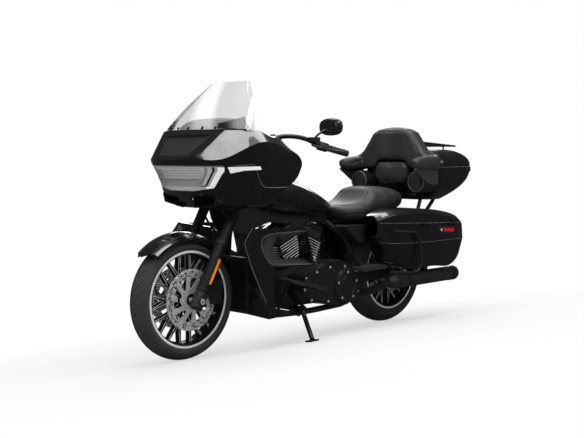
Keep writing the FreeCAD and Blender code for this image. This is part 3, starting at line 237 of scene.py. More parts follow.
REFLECTOR = brushed("lamp_reflector", (0.62, 0.63, 0.65), 0.34, 0.3)
RED = new_material("red_lens", (0.5, 0.005, 0.006), 0.12, coat=1.0)
AMBER = new_material("amber_lens", (0.9, 0.25, 0.005), 0.14, coat=1.0)
# Pale grey for thin lines along seams, creases and edges on the black bodywork: a painted highlight where
# light catches them.
EDGE_HIGHLIGHT = new_material("painted_edge_highlight", (0.2, 0.2, 0.21), 0.35)
LIT = new_material("lit_guide", (0.95, 0.95, 0.96), 0.25, coat=0.6)
GREY = satin("grey_moulding", (0.2, 0.2, 0.21), 0.3)
DARK = new_material("dark_gap", (0.003, 0.003, 0.003), 0.6)
SCREEN_OFF = new_material("blank_screen", (0.006, 0.007, 0.009), 0.08, coat=1.0)
DUCT_GREY = satin("duct_grey", (0.05, 0.05, 0.052), 0.46)
GRILLE_GREY = satin("grille_grey", (0.05, 0.05, 0.052), 0.4)
SHELL_GREY = satin("shell_grey", (0.03, 0.03, 0.032), 0.42)
THREAD = new_material("thread", (0.05, 0.05, 0.053), 0.7)
PLATE_WHITE = new_material("plate_white", (0.7, 0.7, 0.69), 0.4)

CAD_LOOKS = (
    (TYRE, "front_tyre rear_tyre"),
    (METAL_BLACK, "front_wheel rear_wheel fork"),
    (STEEL, "front_discs rear_rotors front_axle rear_axle"),
    (COVER, "handlebar mirrors rocker_covers primary_cover cam_cover air_cleaner"),
    (RUBBER, "grips floorboard_left floorboard_right passenger_board_left passenger_board_right"),
    (SATIN, "controls front_calipers frame rear_frame tank_console side_covers swingarm shock_absorbers"
            " rear_caliper luggage_rack speaker_pods side_stand"),
    (GLOSS, "front_fender fuel_tank fairing_shell lower_left lower_right saddlebag_left saddlebag_right"
            " bag_lid_left bag_lid_right rear_fender top_case top_case_lid"),
    (ENGINE, "engine_case cylinder_front cylinder_rear"),
    (EXHAUST, "exhaust_pipes muffler_left muffler_right"),
    (LEATHER, "seat backrest"),
    (MATTE, "radiator fairing_inner gauge_visor"),
    (REFLECTOR, "headlight"), (LENS, "headlight_lens"), (SCREEN_WITH_PAINTED_REFLECTION, "windshield"), (RED, "tail_lamp"),
)


def finish_cad(name, material):
    """A CAD node keeps its mesh and gets a material, welded corners and soft shading."""
    node = frame["nodes"][name]
    node.data.materials.clear()
    node.data.materials.append(material)
    weld = node.modifiers.new("weld", "WELD")
    weld.merge_threshold = 1e-5
    node.data.shade_smooth()
    edges = node.modifiers.new("edges", "EDGE_SPLIT")
    edges.split_angle = math.radians(32)


for look, node_names in CAD_LOOKS:
    for node_name in node_names.split():
        finish_cad(node_name, look)


# Shape helpers: millimetres in the motorcycle's own frame

DEPS = bpy.context.evaluated_depsgraph_get()
TREES = {}
FAR_SIDE, FAR_AHEAD, FAR_ABOVE = 700, 1500, 1400


def leaned(verts):
    return [TO_ROW @ (Vector(v) * SCALE) for v in verts]


def unleaned(point):
    return (TO_ROW.inverted() @ point) / SCALE


def link_object(name, data):
    made = bpy.data.objects.new(name, data)
    bpy.context.scene.collection.objects.link(made)
    return made


class Shape:
    """Collects vertices and faces of one piece."""

    def __init__(self):
        self.verts, self.faces = [], []

    def grid(self, rows, loop=True, ends=False, wrap=False):
        """Skin across rows of equal length; loop closes each row, wrap closes the stack."""
        count, base = len(rows[0]), len(self.verts)
        self.verts += [tuple(v) for row in rows for v in row]
        for r in range(len(rows) if wrap else len(rows) - 1):
            here, there = base + r * count, base + (r + 1) % len(rows) * count
            for c in range(count if loop else count - 1):
                n = (c + 1) % count
                self.faces.append((here + c, here + n, there + n, there + c))
        if ends:
            top = base + (len(rows) - 1) * count
            self.faces.append(tuple(base + c for c in range(count - 1, -1, -1)))
            self.faces.append(tuple(top + c for c in range(count)))
        return self

    def bar(self, path, radius, sides=5):
        """Round bar along points, where there are enough of them."""
        if len(path) > 1:
            self.grid(tube_rows(path, radius, sides), ends=True)
        return self

    def mesh(self, name, weld=None, smooth=30):
        """The shape leaned onto the stand, with its faces turned outwards."""
        data = bpy.data.meshes.new(name)
        data.from_pydata(leaned(self.verts), [], self.faces)
        build = bmesh.new()
        build.from_mesh(data)
        if weld:
            bmesh.ops.remove_doubles(build, verts=build.verts, dist=weld)
        bmesh.ops.recalc_face_normals(build, faces=build.faces)
        for edge in build.edges:
            if len(edge.link_faces) == 2 and edge.calc_face_angle() > math.radians(smooth):
                edge.smooth = False
        for face in build.faces:
            face.smooth = True
        build.to_mesh(data)
        build.free()
        return link_object(name, data)

    def make(self, name, material, slot_name, body="chassis", smooth=30):
        """A finished piece that rides a body and takes the given material; slot_name is not used."""
        made = self.mesh(name, 1e-6, smooth)
        made.data.materials.append(material)
        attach(made, body)
        return made


def turns(count, shift=0.0):
    """Angles of count even steps round a circle."""
    return [2 * math.pi * (k + shift) / count for k in range(count)]


def spline(a, b, c, e, t):
    """Catmull-Rom value between b and c."""
    return 0.5 * ((2 * b) + (c - a) * t + (2 * a - 5 * b + 4 * c - e) * t * t
                  + (3 * b - a - 3 * c + e) * t ** 3)


def curve_points(points, steps=6):
    points = [Vector(p) for p in points]
    last = len(points) - 1
    out = []
    for i in range(last):
        near = points[max(i - 1, 0)], points[i], points[i + 1], points[min(i + 2, last)]
        out += [spline(*near, k / steps) for k in range(steps)]
    return out + [points[-1]]


def tube_rows(path, radius, sides=8):
    """Circles along a path, kept from twisting."""
    rows = []
    side = None
    for i, at in enumerate(path):
        along = (path[min(i + 1, len(path) - 1)] - path[max(i - 1, 0)]).normalized()
        if side is None:
            side = across(along)[0]
        side = (side - along * side.dot(along)).normalized()
        up = along.cross(side)
        rows.append([at + (side * math.cos(a) + up * math.sin(a)) * radius for a in turns(sides)])
    return rows


def across(along):
    """Two unit directions square to a line."""
    along = along.normalized()
    side = along.cross(Z if abs(along.z) < 0.9 else X).normalized()
    return side, along.cross(side).normalized()


def tube(shape, points, radius, sides=8, steps=6):
    path = curve_points(points, steps) if steps > 1 else [Vector(p) for p in points]
    return shape.grid(tube_rows(path, radius, sides), ends=True)


def lathe(shape, centre, axis, profile, sides=32, closed=False):
    """Turns (along, radius) pairs about an axis."""
    centre, axis = Vector(centre), Vector(axis).normalized()
    side, up = across(axis)
    rows = [[centre + axis * along + (side * math.cos(a) + up * math.sin(a)) * max(radius, 0.01)
             for a in turns(sides)] for along, radius in profile]
    return shape.grid(rows, wrap=closed, ends=not closed)


def bolt(shape, at, axis, radius=5, height=4):
    """Socket-head bolt on a thin washer."""
    lathe(shape, at, axis, [(-2, radius * 1.5), (0.6, radius * 1.5), (1.0, radius * 1.35), (1.0, radius),
                            (height - 1, radius), (height, radius * 0.82), (height, radius * 0.5),
                            (height - 2, radius * 0.46)], 12)


def shrunk(outline, middle, by):
    """A 2-D outline with each point pulled towards the middle."""
    out = []
    for point in outline:
        reach = Vector(point) - middle
        out.append(middle + (reach - reach.normalized() * by))
    return out


def plate(shape, outline, low, high, bevel=1.5):
    """Side-view plate: (x, z) outline between two y levels, with eased edges."""
    middle = Vector((sum(p[0] for p in outline), sum(p[1] for p in outline))) / len(outline)
    inward = bevel if high > low else -bevel
    levels = ((low, bevel), (low + inward, 0), (high - inward, 0), (high, bevel))
    return shape.grid([[Vector((x, y, z)) for x, z in shrunk(outline, middle, by)] for y, by in levels],
                      ends=True)


def eased_pad(shape, outline, height, levels):
    """Cross-car slab: (y, z) outline about a height, at (x, how far it is pulled in) levels."""
    middle = Vector((0, height))
    rows = [[Vector((x, y, z)) for y, z in shrunk(outline, middle, by)] for x, by in levels]
    return shape.grid(rows, ends=True)


def box_at(shape, centre, half, bevel=1.5, turn=None):
    """Block with chamfered edges about a centre, optionally turned."""
    centre, (a, b, c) = Vector(centre), half
    rows = []
    for z, k in ((-c, bevel), (-c + bevel, 0), (c - bevel, 0), (c, bevel)):
        flat, cut = (a - k, b - k - bevel), (a - k - bevel, b - k)
        corners = [(sx * p, sy * q) for sx, sy, (p, q) in (
            (1, 1, flat), (1, 1, cut), (-1, 1, cut), (-1, 1, flat),
            (-1, -1, flat), (-1, -1, cut), (1, -1, cut), (1, -1, flat))]
        rows.append([centre + ((turn @ Vector((x, y, z))) if turn else Vector((x, y, z)))
                     for x, y in corners])
    return shape.grid(rows, ends=True)


def drape(node, origin, direction, lift=0.0):
    """The point where a line from outside meets a CAD node, or None."""
    if node not in TREES:
        TREES[node] = BVHTree.FromObject(frame["nodes"][node], DEPS)
    way = TO_ROW.to_3x3() @ Vector(direction).normalized()
    hit, normal, _, _ = TREES[node].ray_cast(TO_ROW @ (Vector(origin) * SCALE), way)
    if hit is None:
        return None
    if normal.dot(way) > 0:
        normal = -normal
    return unleaned(hit + normal * lift * SCALE)


def drape_all(node, origins, direction, lift=0.0):
    """The points where the lines meet the node; those that miss are left out."""
    hits = [drape(node, origin, direction, lift) for origin in origins]
    return [hit for hit in hits if hit is not None]


def stepped(points, steps, both_ends=False):
    """Even steps along a 2-D polyline; both_ends repeats each run's last point."""
    out = []
    for (ua, va), (ub, vb) in zip(points, points[1:]):
        out += [(ua + (ub - ua) * k / steps, va + (vb - va) * k / steps)
                for k in range(steps + both_ends)]
    return out if both_ends else out + [points[-1]]


def ahead_line(node, points, lift=0.5, steps=8):
    """Seen-from-ahead (y, z) polyline dropped onto a node's front."""
    return drape_all(node, [(FAR_AHEAD, y, z) for y, z in stepped(points, steps)], -X, lift)


def side_line(node, points, lift=0.6, steps=8, side=1, both_ends=False):
    """Seen-from-the-side (x, z) polyline dropped onto a node's outer face."""
    origins = [(x, side * FAR_SIDE, z) for x, z in stepped(points, steps, both_ends)]
    return drape_all(node, origins, -Y * side, lift)


def beside(side):
    """A line caster for one side, for strips whose edges need the same number of points."""
    def cast(node, points, lift, steps):
        return side_line(node, points, lift, steps, side, True)
    return cast


def band(shape, node, outer, inner, lift=0.6, thick=1.2, steps=8, cast=ahead_line):
    """Raised strip between two polylines on a node."""
    rows = []
    for p, q in zip(cast(node, outer, lift, steps), cast(node, inner, lift, steps)):
        along = (q - p)
        rise = Vector((0.8, 0.6 if p.y > 0 else -0.6, 0)) * thick
        rows.append([p - rise, p + rise * 0.4 + along * 0.06, q + rise * 0.4 - along * 0.06, q - rise])
    shape.grid(rows, ends=True)


def both_flanks(shape, path, radius):
    """Round line along a path and its mirror image on the other side."""
    rows = tube_rows(path, radius, 5)
    shape.grid(rows, ends=True)
    shape.grid([[p * Vector((1, -1, 1)) for p in row] for row in rows], ends=True)


# Padded seat and backrest

VOXEL = 0.0055
CLOTH_FRAMES = 20
LEATHER_CLOTH = {"quality": 4, "mass": 0.3, "tension_stiffness": 18, "compression_stiffness": 18,
                 "bending_stiffness": 4, "use_pressure": True, "uniform_pressure_force": 4.0}


def squared(value, power):
    """A sine or cosine pushed out towards a rounded square."""
    return math.copysign(abs(value) ** power, value)


def pad_rows(stations, count=48, power=3.2):
    """Closed cross-sections of a cushion; a station is (x, half, low, high, dish)."""
    rows = []
    for x, half, low, high, dish in stations:
        middle, tall = (low + high) / 2, (high - low) / 2
        row = []
        for a in turns(count):
            y = squared(math.cos(a), 2 / power) * half
            z = squared(math.sin(a), 2 / power) * tall
            if z > 0:
                z += (dish * (1 - (y / half) ** 2)) * (z / tall)
            else:
                y *= 1 - 0.1 * (-z / tall)
            row.append(Vector((x, y, middle + z)))
        rows.append(row)
    return rows


def resample(stations, steps):
    """Smooth in-between stations, each number by itself."""
    out = []
    last = len(stations) - 1
    for i in range(last):
        near = [stations[max(0, min(last, i + k))] for k in (-1, 0, 1, 2)]
        out += [tuple(spline(*values, k / steps) for values in zip(*near)) for k in range(steps)]
    return out + [stations[-1]]


def apply_all(obj):
    view = bpy.context.evaluated_depsgraph_get()
    data = bpy.data.meshes.new_from_object(obj.evaluated_get(view))
    for mod in list(obj.modifiers):
        obj.modifiers.remove(mod)
    old = obj.data
    obj.data = data
    bpy.data.meshes.remove(old)


def smooth(obj, iterations):
    ease = obj.modifiers.new("ease", "SMOOTH")
    ease.factor, ease.iterations = 0.5, iterations
    apply_all(obj)


def swell(obj, cap):
    """Cloth under pressure, with each point kept within the cap."""
    cloth = obj.modifiers.new("cloth", "CLOTH")
    for key, value in LEATHER_CLOTH.items():
        setattr(cloth.settings, key, value)
    cloth.settings.effector_weights.gravity = 0
    for number in range(1, CLOTH_FRAMES + 1):
        bpy.context.scene.frame_set(number)
    swollen = obj.evaluated_get(bpy.context.evaluated_depsgraph_get())
    moved = [v.co.copy() for v in swollen.to_mesh().vertices]
    swollen.to_mesh_clear()
    obj.modifiers.remove(cloth)
    for vertex, end in zip(obj.data.vertices, moved):
        step = end - vertex.co
        vertex.co = vertex.co + step * min(1.0, cap / max(step.length, 1e-9))
    bpy.context.scene.frame_set(1)


def stuffed(shape, cap):
    """A closed pad, remeshed and swollen like stuffed leather."""
    obj = shape.mesh("pad")
    remesh = obj.modifiers.new("remesh", "REMESH")
    remesh.mode = "VOXEL"
    remesh.voxel_size = VOXEL
    smooth(obj, 6)
    swell(obj, cap)
    smooth(obj, 4)
    return obj


def groove(obj, distance, depth, width):
    """Sinks the skin along a line: distance(point) gives how far off the line a point is."""
    normals = [v.normal.copy() for v in obj.data.vertices]
    for vertex, normal in zip(obj.data.vertices, normals):
        off = distance(unleaned(vertex.co))
        if off is not None and off < width * 2.5:
            vertex.co -= normal * depth * SCALE * math.exp(-(off / width) ** 2)


def soft_finish(obj, name, node):
    obj.data.materials.clear()
    obj.data.materials.append(LEATHER)
    for polygon in obj.data.polygons:
        polygon.use_smooth = True
    obj.name = name
    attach(obj, "chassis")
    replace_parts(obj, node)


def make_seat():
    stations = [(-272, 52, 728, 764, 2), (-286, 82, 716, 768, 0), (-320, 118, 694, 768, -4),
                (-372, 150, 674, 771, -10), (-430, 168, 662, 782, -16), (-480, 172, 660, 798, -16),
                (-520, 173, 662, 826, -12), (-552, 173, 666, 852, -4), (-588, 172, 670, 859, 2),
                (-650, 170, 682, 856, 6), (-720, 164, 698, 853, 6), (-790, 154, 714, 848, 5),
                (-832, 142, 726, 838, 3), (-842, 128, 736, 826, 0)]
    seat = stuffed(Shape().grid(pad_rows(resample(stations, 4)), ends=True), 0.007)

    def channels(at):
        """Three curved rows across the back of the rider's place."""
        bow = 16 * (at.y / 170) ** 2
        return None if at.z < 742 else min(abs(at.x + 592 + k * 26 - bow) for k in range(3))

    def belt(at):
        """Seam round the side, above the base."""
        return abs(at.z - (716 + (at.x + 560) * -0.035)) if at.x < -300 else None

    def bolster(at):
        """Line between the rider's dish and its raised sides."""
        if at.x < -560 or at.x > -330 or at.z < 740:
            return None
        return abs(abs(at.y) - bolster_half(at.x))

    groove(seat, channels, 6.0, 4.0)
    groove(seat, bolster, 3.5, 6.0)
    groove(seat, belt, 3.0, 3.5)
    soft_finish(seat, "padded_seat", "seat")


def bolster_half(x):
    return 118 - 30 * ((x + 450) / 110) ** 2


def make_backrest():
    shape = Shape()
    right = [(118, 1230), (164, 1208), (206, 1150), (244, 1098), (280, 1066), (322, 1050), (324, 972),
             (156, 972), (124, 1008), (106, 1020)]
    outline = [(-118, 1230), (-60, 1236), (60, 1236)] + right + [(-y, z) for y, z in right[:0:-1]]
    eased_pad(shape, outline, 1090, ((-982, 6), (-966, 0), (-925, 0), (-905, 6), (-893, 20)))
    arm = [(-986, 286, 48, 1009, 44), (-930, 287, 48, 1010, 45), (-870, 288, 47, 1010, 44),
           (-815, 291, 43, 1009, 40), (-775, 295, 35, 1008, 32), (-752, 298, 25, 1008, 22),
           (-746, 298, 12, 1007, 12)]
    for side in SIDES:
        shape.grid([[Vector((x, side * y + squared(math.cos(a), 0.62) * wide,
                             z + squared(math.sin(a), 0.62) * tall)) for a in turns(24)]
                    for x, y, wide, z, tall in resample(arm, 3)], ends=True)
    rest = stuffed(shape, 0.006)

    def welt(at):
        """Seam along the top edge."""
        return abs(at.x + 950) if at.x < -930 and at.z > 1052 else None

    def shoulder(at):
        """Seams between the middle and the arm rests."""
        if at.z > 1120 or at.z < 1000 or at.x < -960:
            return None
        return abs(abs(at.y) - 196 - (1120 - at.z) * 0.42)

    def panel(at):
        """Outline of the middle panel."""
        if at.x < -912 or at.z < 1030:
            return None
        return abs(max(abs(at.y) / (96 + (1225 - at.z) * 0.34), (at.z - 1040) / 168) - 1) * 90

    groove(rest, shoulder, 5.0, 5.0)
    groove(rest, panel, 2.0, 4.0)
    groove(rest, welt, 2.5, 3.0)
    soft_finish(rest, "padded_backrest", "backrest")


def make_lumbar():
    outline = [(96, 882), (128, 914), (130, 984), (106, 1014), (0, 1016), (-106, 1014), (-130, 984),
               (-128, 914), (-96, 882), (0, 880)]
    levels = ((-960, 8), (-944, 0), (-905, 0), (-888, 10), (-880, 26))
    lumbar = stuffed(eased_pad(Shape(), outline, 948, levels), 0.006)

    def inset(at):
        """Seam round the front face."""
        return abs(max(abs(at.y) / 96, abs(at.z - 948) / 48) - 1) * 48 if at.x > -905 else None

    groove(lumbar, inset, 3.0, 4.0)
    soft_finish(lumbar, "padded_lumbar", "backrest")


def stitches(shape, path, step=5.5, length=3.2, radius=0.45):
    """Row of short thread stitches along a path."""
    travelled, next_at = 0.0, 0.0
    for a, b in zip(path, path[1:]):
        span = (b - a).length
        while next_at <= travelled + span and span > 0:
            start = a + (b - a) * ((next_at - travelled) / span)
            shape.bar([start, start + (b - a).normalized() * length], radius)
            next_at += step
        travelled += span


make_seat()
make_backrest()
make_lumbar()


# Wheels

FRONT_WHEEL = {"radius": 319.3, "crown": 70, "half": 65, "bead": 241.3, "flange": 253, "rim_half": 45,
               "hub": 42, "spoke_half": 17, "sipes": 30}
REAR_WHEEL = {"radius": 327.6, "crown": 98, "half": 90, "bead": 228.6, "flange": 241, "rim_half": 66,
              "hub": 48, "spoke_half": 26, "sipes": 28}
RIM_WALL = 6
SIPE_DEPTH = 3.2
SPOKE_PAIRS, SPOKE_WALL = 10, 8.0
DISC = {"side": 65, "outer": 160, "band": 46, "hub": 64, "bore": 32, "wall": 6.0, "arm_wall": 5.2,
        "cells": 60, "arms": 10, "hole": 3.4}


def tyre_profile(size):
    """Half profile from bead to crown as (radius, side, how far up the tread it is)."""
    shoulder = size["half"] * 0.86
    drop = size["crown"] - math.sqrt(size["crown"] ** 2 - shoulder ** 2)
    edge = size["radius"] - drop
    belly = size["flange"] + (edge - size["flange"]) * 0.55
    side = size["rim_half"] + RIM_WALL
    wall = curve_points([(size["flange"] + 0.5, side - 0.2, 0), (size["flange"] + 8, side + 5, 0),
                         (belly - 8, size["half"] - 1.2, 0), (belly + 4, size["half"] - 0.6, 0),
                         (edge - 3, shoulder + 2.2, 0)], 4)
    profile = [(size["bead"] + 0.3, size["rim_half"] - 2, 0.0),
               (size["flange"] + 0.5, size["rim_half"] - 1, 0.0)]
    profile += [(p.x + (0.8 if i in (2, 4) else 0), p.y, 0.0) for i, p in enumerate(wall)]
    for k in range(17):
        y = shoulder * (1 - k / 16)
        profile.append((size["radius"] - size["crown"] + math.sqrt(size["crown"] ** 2 - y * y), y,
                        y / shoulder))
    return profile


def tyre_tread(end, centre, size):
    """Tyre with slanted sipes cut along a sheared grid, so that their edges stay crisp."""
    half = tyre_profile(size)
    rows = [(r, y, t, 1) for r, y, t in half] + [(r, -y, t, -1) for r, y, t in reversed(half[:-1])]
    columns = [0.0, 0.012, 0.09, 0.102, 0.28, 0.42, 0.5, 0.512, 0.59, 0.602, 0.78, 0.9]
    sunk = {1: (1, 2), -1: (7, 8)}
    grid = []
    for r, y, t, side in rows:
        row = []
        for start in turns(size["sipes"]):
            for index, share in enumerate(columns):
                angle = start + 2 * math.pi / size["sipes"] * (share + 1.5 * t ** 1.4)
                radius = r
                if 0.1 < t < 0.96 and index in sunk[side]:
                    radius -= SIPE_DEPTH
                elif 0.5 < t < 0.9 and index in sunk[-side]:
                    radius -= SIPE_DEPTH * 0.8
                row.append(centre + Vector((math.cos(angle) * radius, y, math.sin(angle) * radius)))
        grid.append(row)
    tyre = Shape().grid(grid, wrap=True)
    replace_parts(tyre.make(end + "_tyre_tread", TYRE, "tyre", end + "_wheel_set", 25), end + "_tyre")


def rim_lips(end, centre, size):
    """Machined lip on both rim flanges."""
    shape = Shape()
    face, flange = size["rim_half"] + RIM_WALL, size["flange"]
    for side in SIDES:
        lathe(shape, centre, Y * side, [
            (face - 1, flange - 12), (face + 0.4, flange - 11.6), (face + 0.9, flange - 6),
            (face + 1.0, flange - 1.2), (face + 0.5, flange + 0.25), (face - 1, flange + 0.3)],
            128, closed=True)
    shape.make(end + "_rim_lips", BRIGHT, "wheel_black", end + "_wheel_set")


def spoke_edges(end, centre, size):
    """Bright machined lines along both edges of each forked spoke, on both faces."""
    inner = size["bead"] - 14
    root = size["hub"] - 4
    fork = size["hub"] + (inner - size["hub"]) * 0.42
    spread = 360 / SPOKE_PAIRS * 0.27
    mid = math.degrees(SPOKE_WALL / 2 / fork) * 2.2
    base = math.degrees(SPOKE_WALL / root)
    wide = math.degrees(SPOKE_WALL / 2 / inner)
    face = size["spoke_half"] - 0.5
    shape = Shape()
    for number in range(SPOKE_PAIRS):
        for side in SIDES:
            for way in (1, -1):
                outer = ((root + 10, base * 0.9), (fork, mid * 0.94), (inner + 1, spread + wide * 0.9))
                arm = ((fork + 20, 0.4), (inner + 1, spread - wide * 0.9))
                for line in (outer, arm):
                    path = []
                    for radius, off in line:
                        angle = math.radians(number * 360 / SPOKE_PAIRS + way * off)
                        path.append(centre + Vector((radius * math.cos(angle), side * face,
                                                     radius * math.sin(angle))))
                    shape.bar(path, 1.3, 6)
    shape.make(end + "_spoke_edges", BRIGHT, "wheel_black", end + "_wheel_set")


def drilled_cell(shape, corners, ring):
    """Sector of a disc with a round hole: two faces, the hole's wall and the outer walls."""
    base, layer = len(shape.verts), 4 + len(ring[0])
    for flat, circle in zip(corners, ring):
        shape.verts += [tuple(p) for p in flat + circle]
    count = len(ring[0])
    for low in (base, base + layer):
        for k in range(4):
            arc = [low + 4 + (k * 3 + m) % count for m in range(4)]
            here, after = low + k, low + (k + 1) % 4
            shape.faces += [(here, arc[0], arc[1]), (here, arc[1], arc[2]), (here, arc[2], after),
                            (after, arc[2], arc[3])]
    for start, size in ((base + 4, count), (base, 4)):
        for k in range(size):
            n = (k + 1) % size
            shape.faces.append((start + k, start + n, start + layer + n, start + layer + k))


def drilled_disc(shape, side):
    """Brake disc: a drilled band, angled arms with open windows, and a bolted collar."""
    centre, wall, hub = FRONT_MM + Y * side * DISC["side"], DISC["wall"], DISC["hub"]
    inner = DISC["outer"] - DISC["band"]
    faces = (-wall / 2, wall / 2)

    def at(radius, angle, y):
        return centre + Vector((radius * math.cos(angle), side * y, radius * math.sin(angle)))

    levels = [inner + 1, *(inner + DISC["band"] * share for share in (0.28, 0.52, 0.76)), DISC["outer"]]
    edges = turns(DISC["cells"])
    step = edges[1]
    for number in range(DISC["cells"]):
        for level, (low, high) in enumerate(zip(levels, levels[1:])):
            start, end = number * step, (number + 1) * step
            corners = [[at(r, a, y) for r, a in ((low, start), (high, start), (high, end), (low, end))]
                       for y in faces]
            if (number + level * 2) % 3:
                shape.grid(corners, ends=True)
                continue
            radius, angle = (low + high) / 2, (start + end) / 2
            around = [a - 3 * math.pi / 4 for a in turns(12, 0.5)]
            ring = [[at(radius + DISC["hole"] * math.cos(a), angle + DISC["hole"] * math.sin(a) / radius, y)
                     for a in around] for y in faces]
            drilled_cell(shape, corners, ring)
    collar = ((DISC["bore"], faces[0]), (hub, faces[0]), (hub, faces[1]), (DISC["bore"], faces[1]))
    shape.grid([[at(radius, a, y) for a in edges] for radius, y in collar], wrap=True)
    halfway = (hub + inner) / 2
    for start in turns(DISC["arms"]):
        for low, high, wide_low, wide_high, turn in ((hub - 1, halfway, 0.20, 0.13, start),
                                                     (halfway, inner + 2, 0.13, 0.16, start + 0.10)):
            corners = [(low, turn - wide_low), (high, turn + 0.10 - wide_high),
                       (high, turn + 0.10 + wide_high), (low, turn + wide_low)]
            shape.grid([[at(r, a, way * DISC["arm_wall"] / 2) for r, a in corners] for way in (-1, 1)],
                       ends=True)
        bolt(shape, at(halfway + 22, start + 0.2, wall / 2), Y * side, 5, 3)
    for angle in turns(5):
        bolt(shape, at(hub - 10, angle, wall / 2), Y * side, 4.5, 4)


for draw in (tyre_tread, rim_lips, spoke_edges):
    draw("front", FRONT_MM, FRONT_WHEEL)
    draw("rear", REAR_MM, REAR_WHEEL)
discs = Shape()
for side in SIDES:
    drilled_disc(discs, side)
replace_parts(discs.make("front_discs_drilled", STEEL, "disc_steel", "front_wheel_set"), "front_discs")


# Fairing, headlight and screen

LEG = Vector((-math.sin(math.radians(29.25)), 0, math.cos(math.radians(29.25))))
LENS_TOP = 1003
GUIDE = ([(178, 892), (213, 899), (261, 964), (279, 984), (286, LENS_TOP)],
         [(170, 902), (192, 906), (236, 964), (254, 985), (258, LENS_TOP)])
CHEVRON = ([(158, 903), (182, 908), (224, 963), (243, 984), (248, LENS_TOP)],
           [(150, 906), (174, 911), (215, 963), (233, 984), (238, LENS_TOP)])
INNER_RIB = ([(138, 914), (158, 918), (196, 962), (212, 984), (216, LENS_TOP)],
             [(128, 918), (150, 921), (186, 962), (200, 984), (204, LENS_TOP)])
SHELF = ([(0, 934), (90, 934), (178, 936)], [(0, 942), (90, 942), (184, 944)])


def lens_band(shape, edges, lift):
    """A strip on the left half of the lens and its twin on the right."""
    for side in SIDES:
        band(shape, "headlight_lens", *([(side * y, z) for y, z in line] for line in edges), lift)


lit, dark, grey = Shape(), Shape(), Shape()
lens_band(lit, GUIDE, 0.6)
lens_band(dark, CHEVRON, 0.4)
for edges in (INNER_RIB, SHELF):
    lens_band(grey, edges, 0.3)
for level in (957, 970, 983, 996):
    reach = 170 + (level - 957) * 0.35
    band(grey, "headlight_lens", [(-reach, level), (reach, level)],
         [(-reach, level + 2.2), (reach, level + 2.2)], -1.0, steps=24)
for number in range(-11, 12):
    foot, head = (drape("headlight_lens", (FAR_AHEAD, number * 13.0, z), -X, -6) for z in (906, 930))
    if foot and head:
        grey.grid([[foot + Y * s, foot - X * 14 + Y * s, head - X * 14 + Y * s, head + Y * s]
                   for s in (-1.6, 1.6)], ends=True)
lit.make("headlight_guides", LIT, "lamp_glass")
dark.make("headlight_chevrons", DARK, "lamp_glass")
grey.make("headlight_ribs", GREY, "lamp_glass")

arm = Shape()
for side in SIDES:
    band(arm, "fairing_shell", [(762, 1004), (700, 1006), (612, 1007)], [(742, 972), (690, 986), (602, 990)],
         0.8, 1.0, 8, beside(side))
arm.make("headlight_arms", LIT, "lamp_glass")

# Pale lines along the fairing's seams are painted highlights.
seam_highlights = Shape()
for points in ([(738, 1010), (700, 1013), (655, 1018), (640, 1011), (592, 916), (578, 903), (560, 899),
                (430, 899)], [(560, 899), (520, 898), (430, 899)]):
    both_flanks(seam_highlights, side_line("fairing_shell", points, 0.2, 6), 0.8)
seam_highlights.bar(ahead_line("fairing_shell", [(-284, 1009), (-150, 1009), (0, 1009), (150, 1009), (284, 1009)],
                     0.3, 10), 0.9)
seam_highlights.make("fairing_seam_highlights", EDGE_HIGHLIGHT, "gloss_black")

screws = Shape()
for x, z in ((456, 987), (600, 850)):
    hit = drape("fairing_shell", (x, FAR_SIDE, z), -Y)
    for side in SIDES:
        bolt(screws, hit * Vector((1, side, 1)), Y * side, 4.5, 3)
screws.make("fairing_screws", SATIN, "gloss_black")

screen_bolts = Shape()
for y in (-232, -150, -56, 56, 150, 232):
    bolt(screen_bolts, drape("windshield", (FAR_AHEAD, y, 1203), -X), (0.86, 0.002 * y, 0.5), 6, 5)
screen_bolts.make("screen_bolts", METAL_BLACK, "matte_black")

foot_line = []
for k in range(61):
    a = math.radians(-84 + 168 * k / 60)
    out = Vector((math.cos(a), math.sin(a) * 0.9, 0))
    foot_line += drape_all("windshield", [Vector((620, 0, 1191)) + out * 1300], -out, 1.5)
Shape().bar(foot_line, 3.0, 8).make("screen_gasket", MATTE, "matte_black")

brackets = Shape()
for side in SIDES:
    low, high = (curve_points([(x, side * y, z) for x, y, z in line], 5) for line in (
        [(742, 196, 1196), (716, 236, 1197), (672, 276, 1198), (624, 300, 1199)],
        [(724, 180, 1222), (698, 214, 1232), (656, 246, 1246), (618, 262, 1258)]))
    out = Vector((0.5, side * 0.85, 0.2)) * 4
    brackets.grid([[p + out, p + out * 1.6, q + out * 1.6, q + out] for p, q in zip(low, high)], ends=True)
brackets.make("screen_brackets", COVER, "matte_black")


# Fork, brakes, fender and handlebar

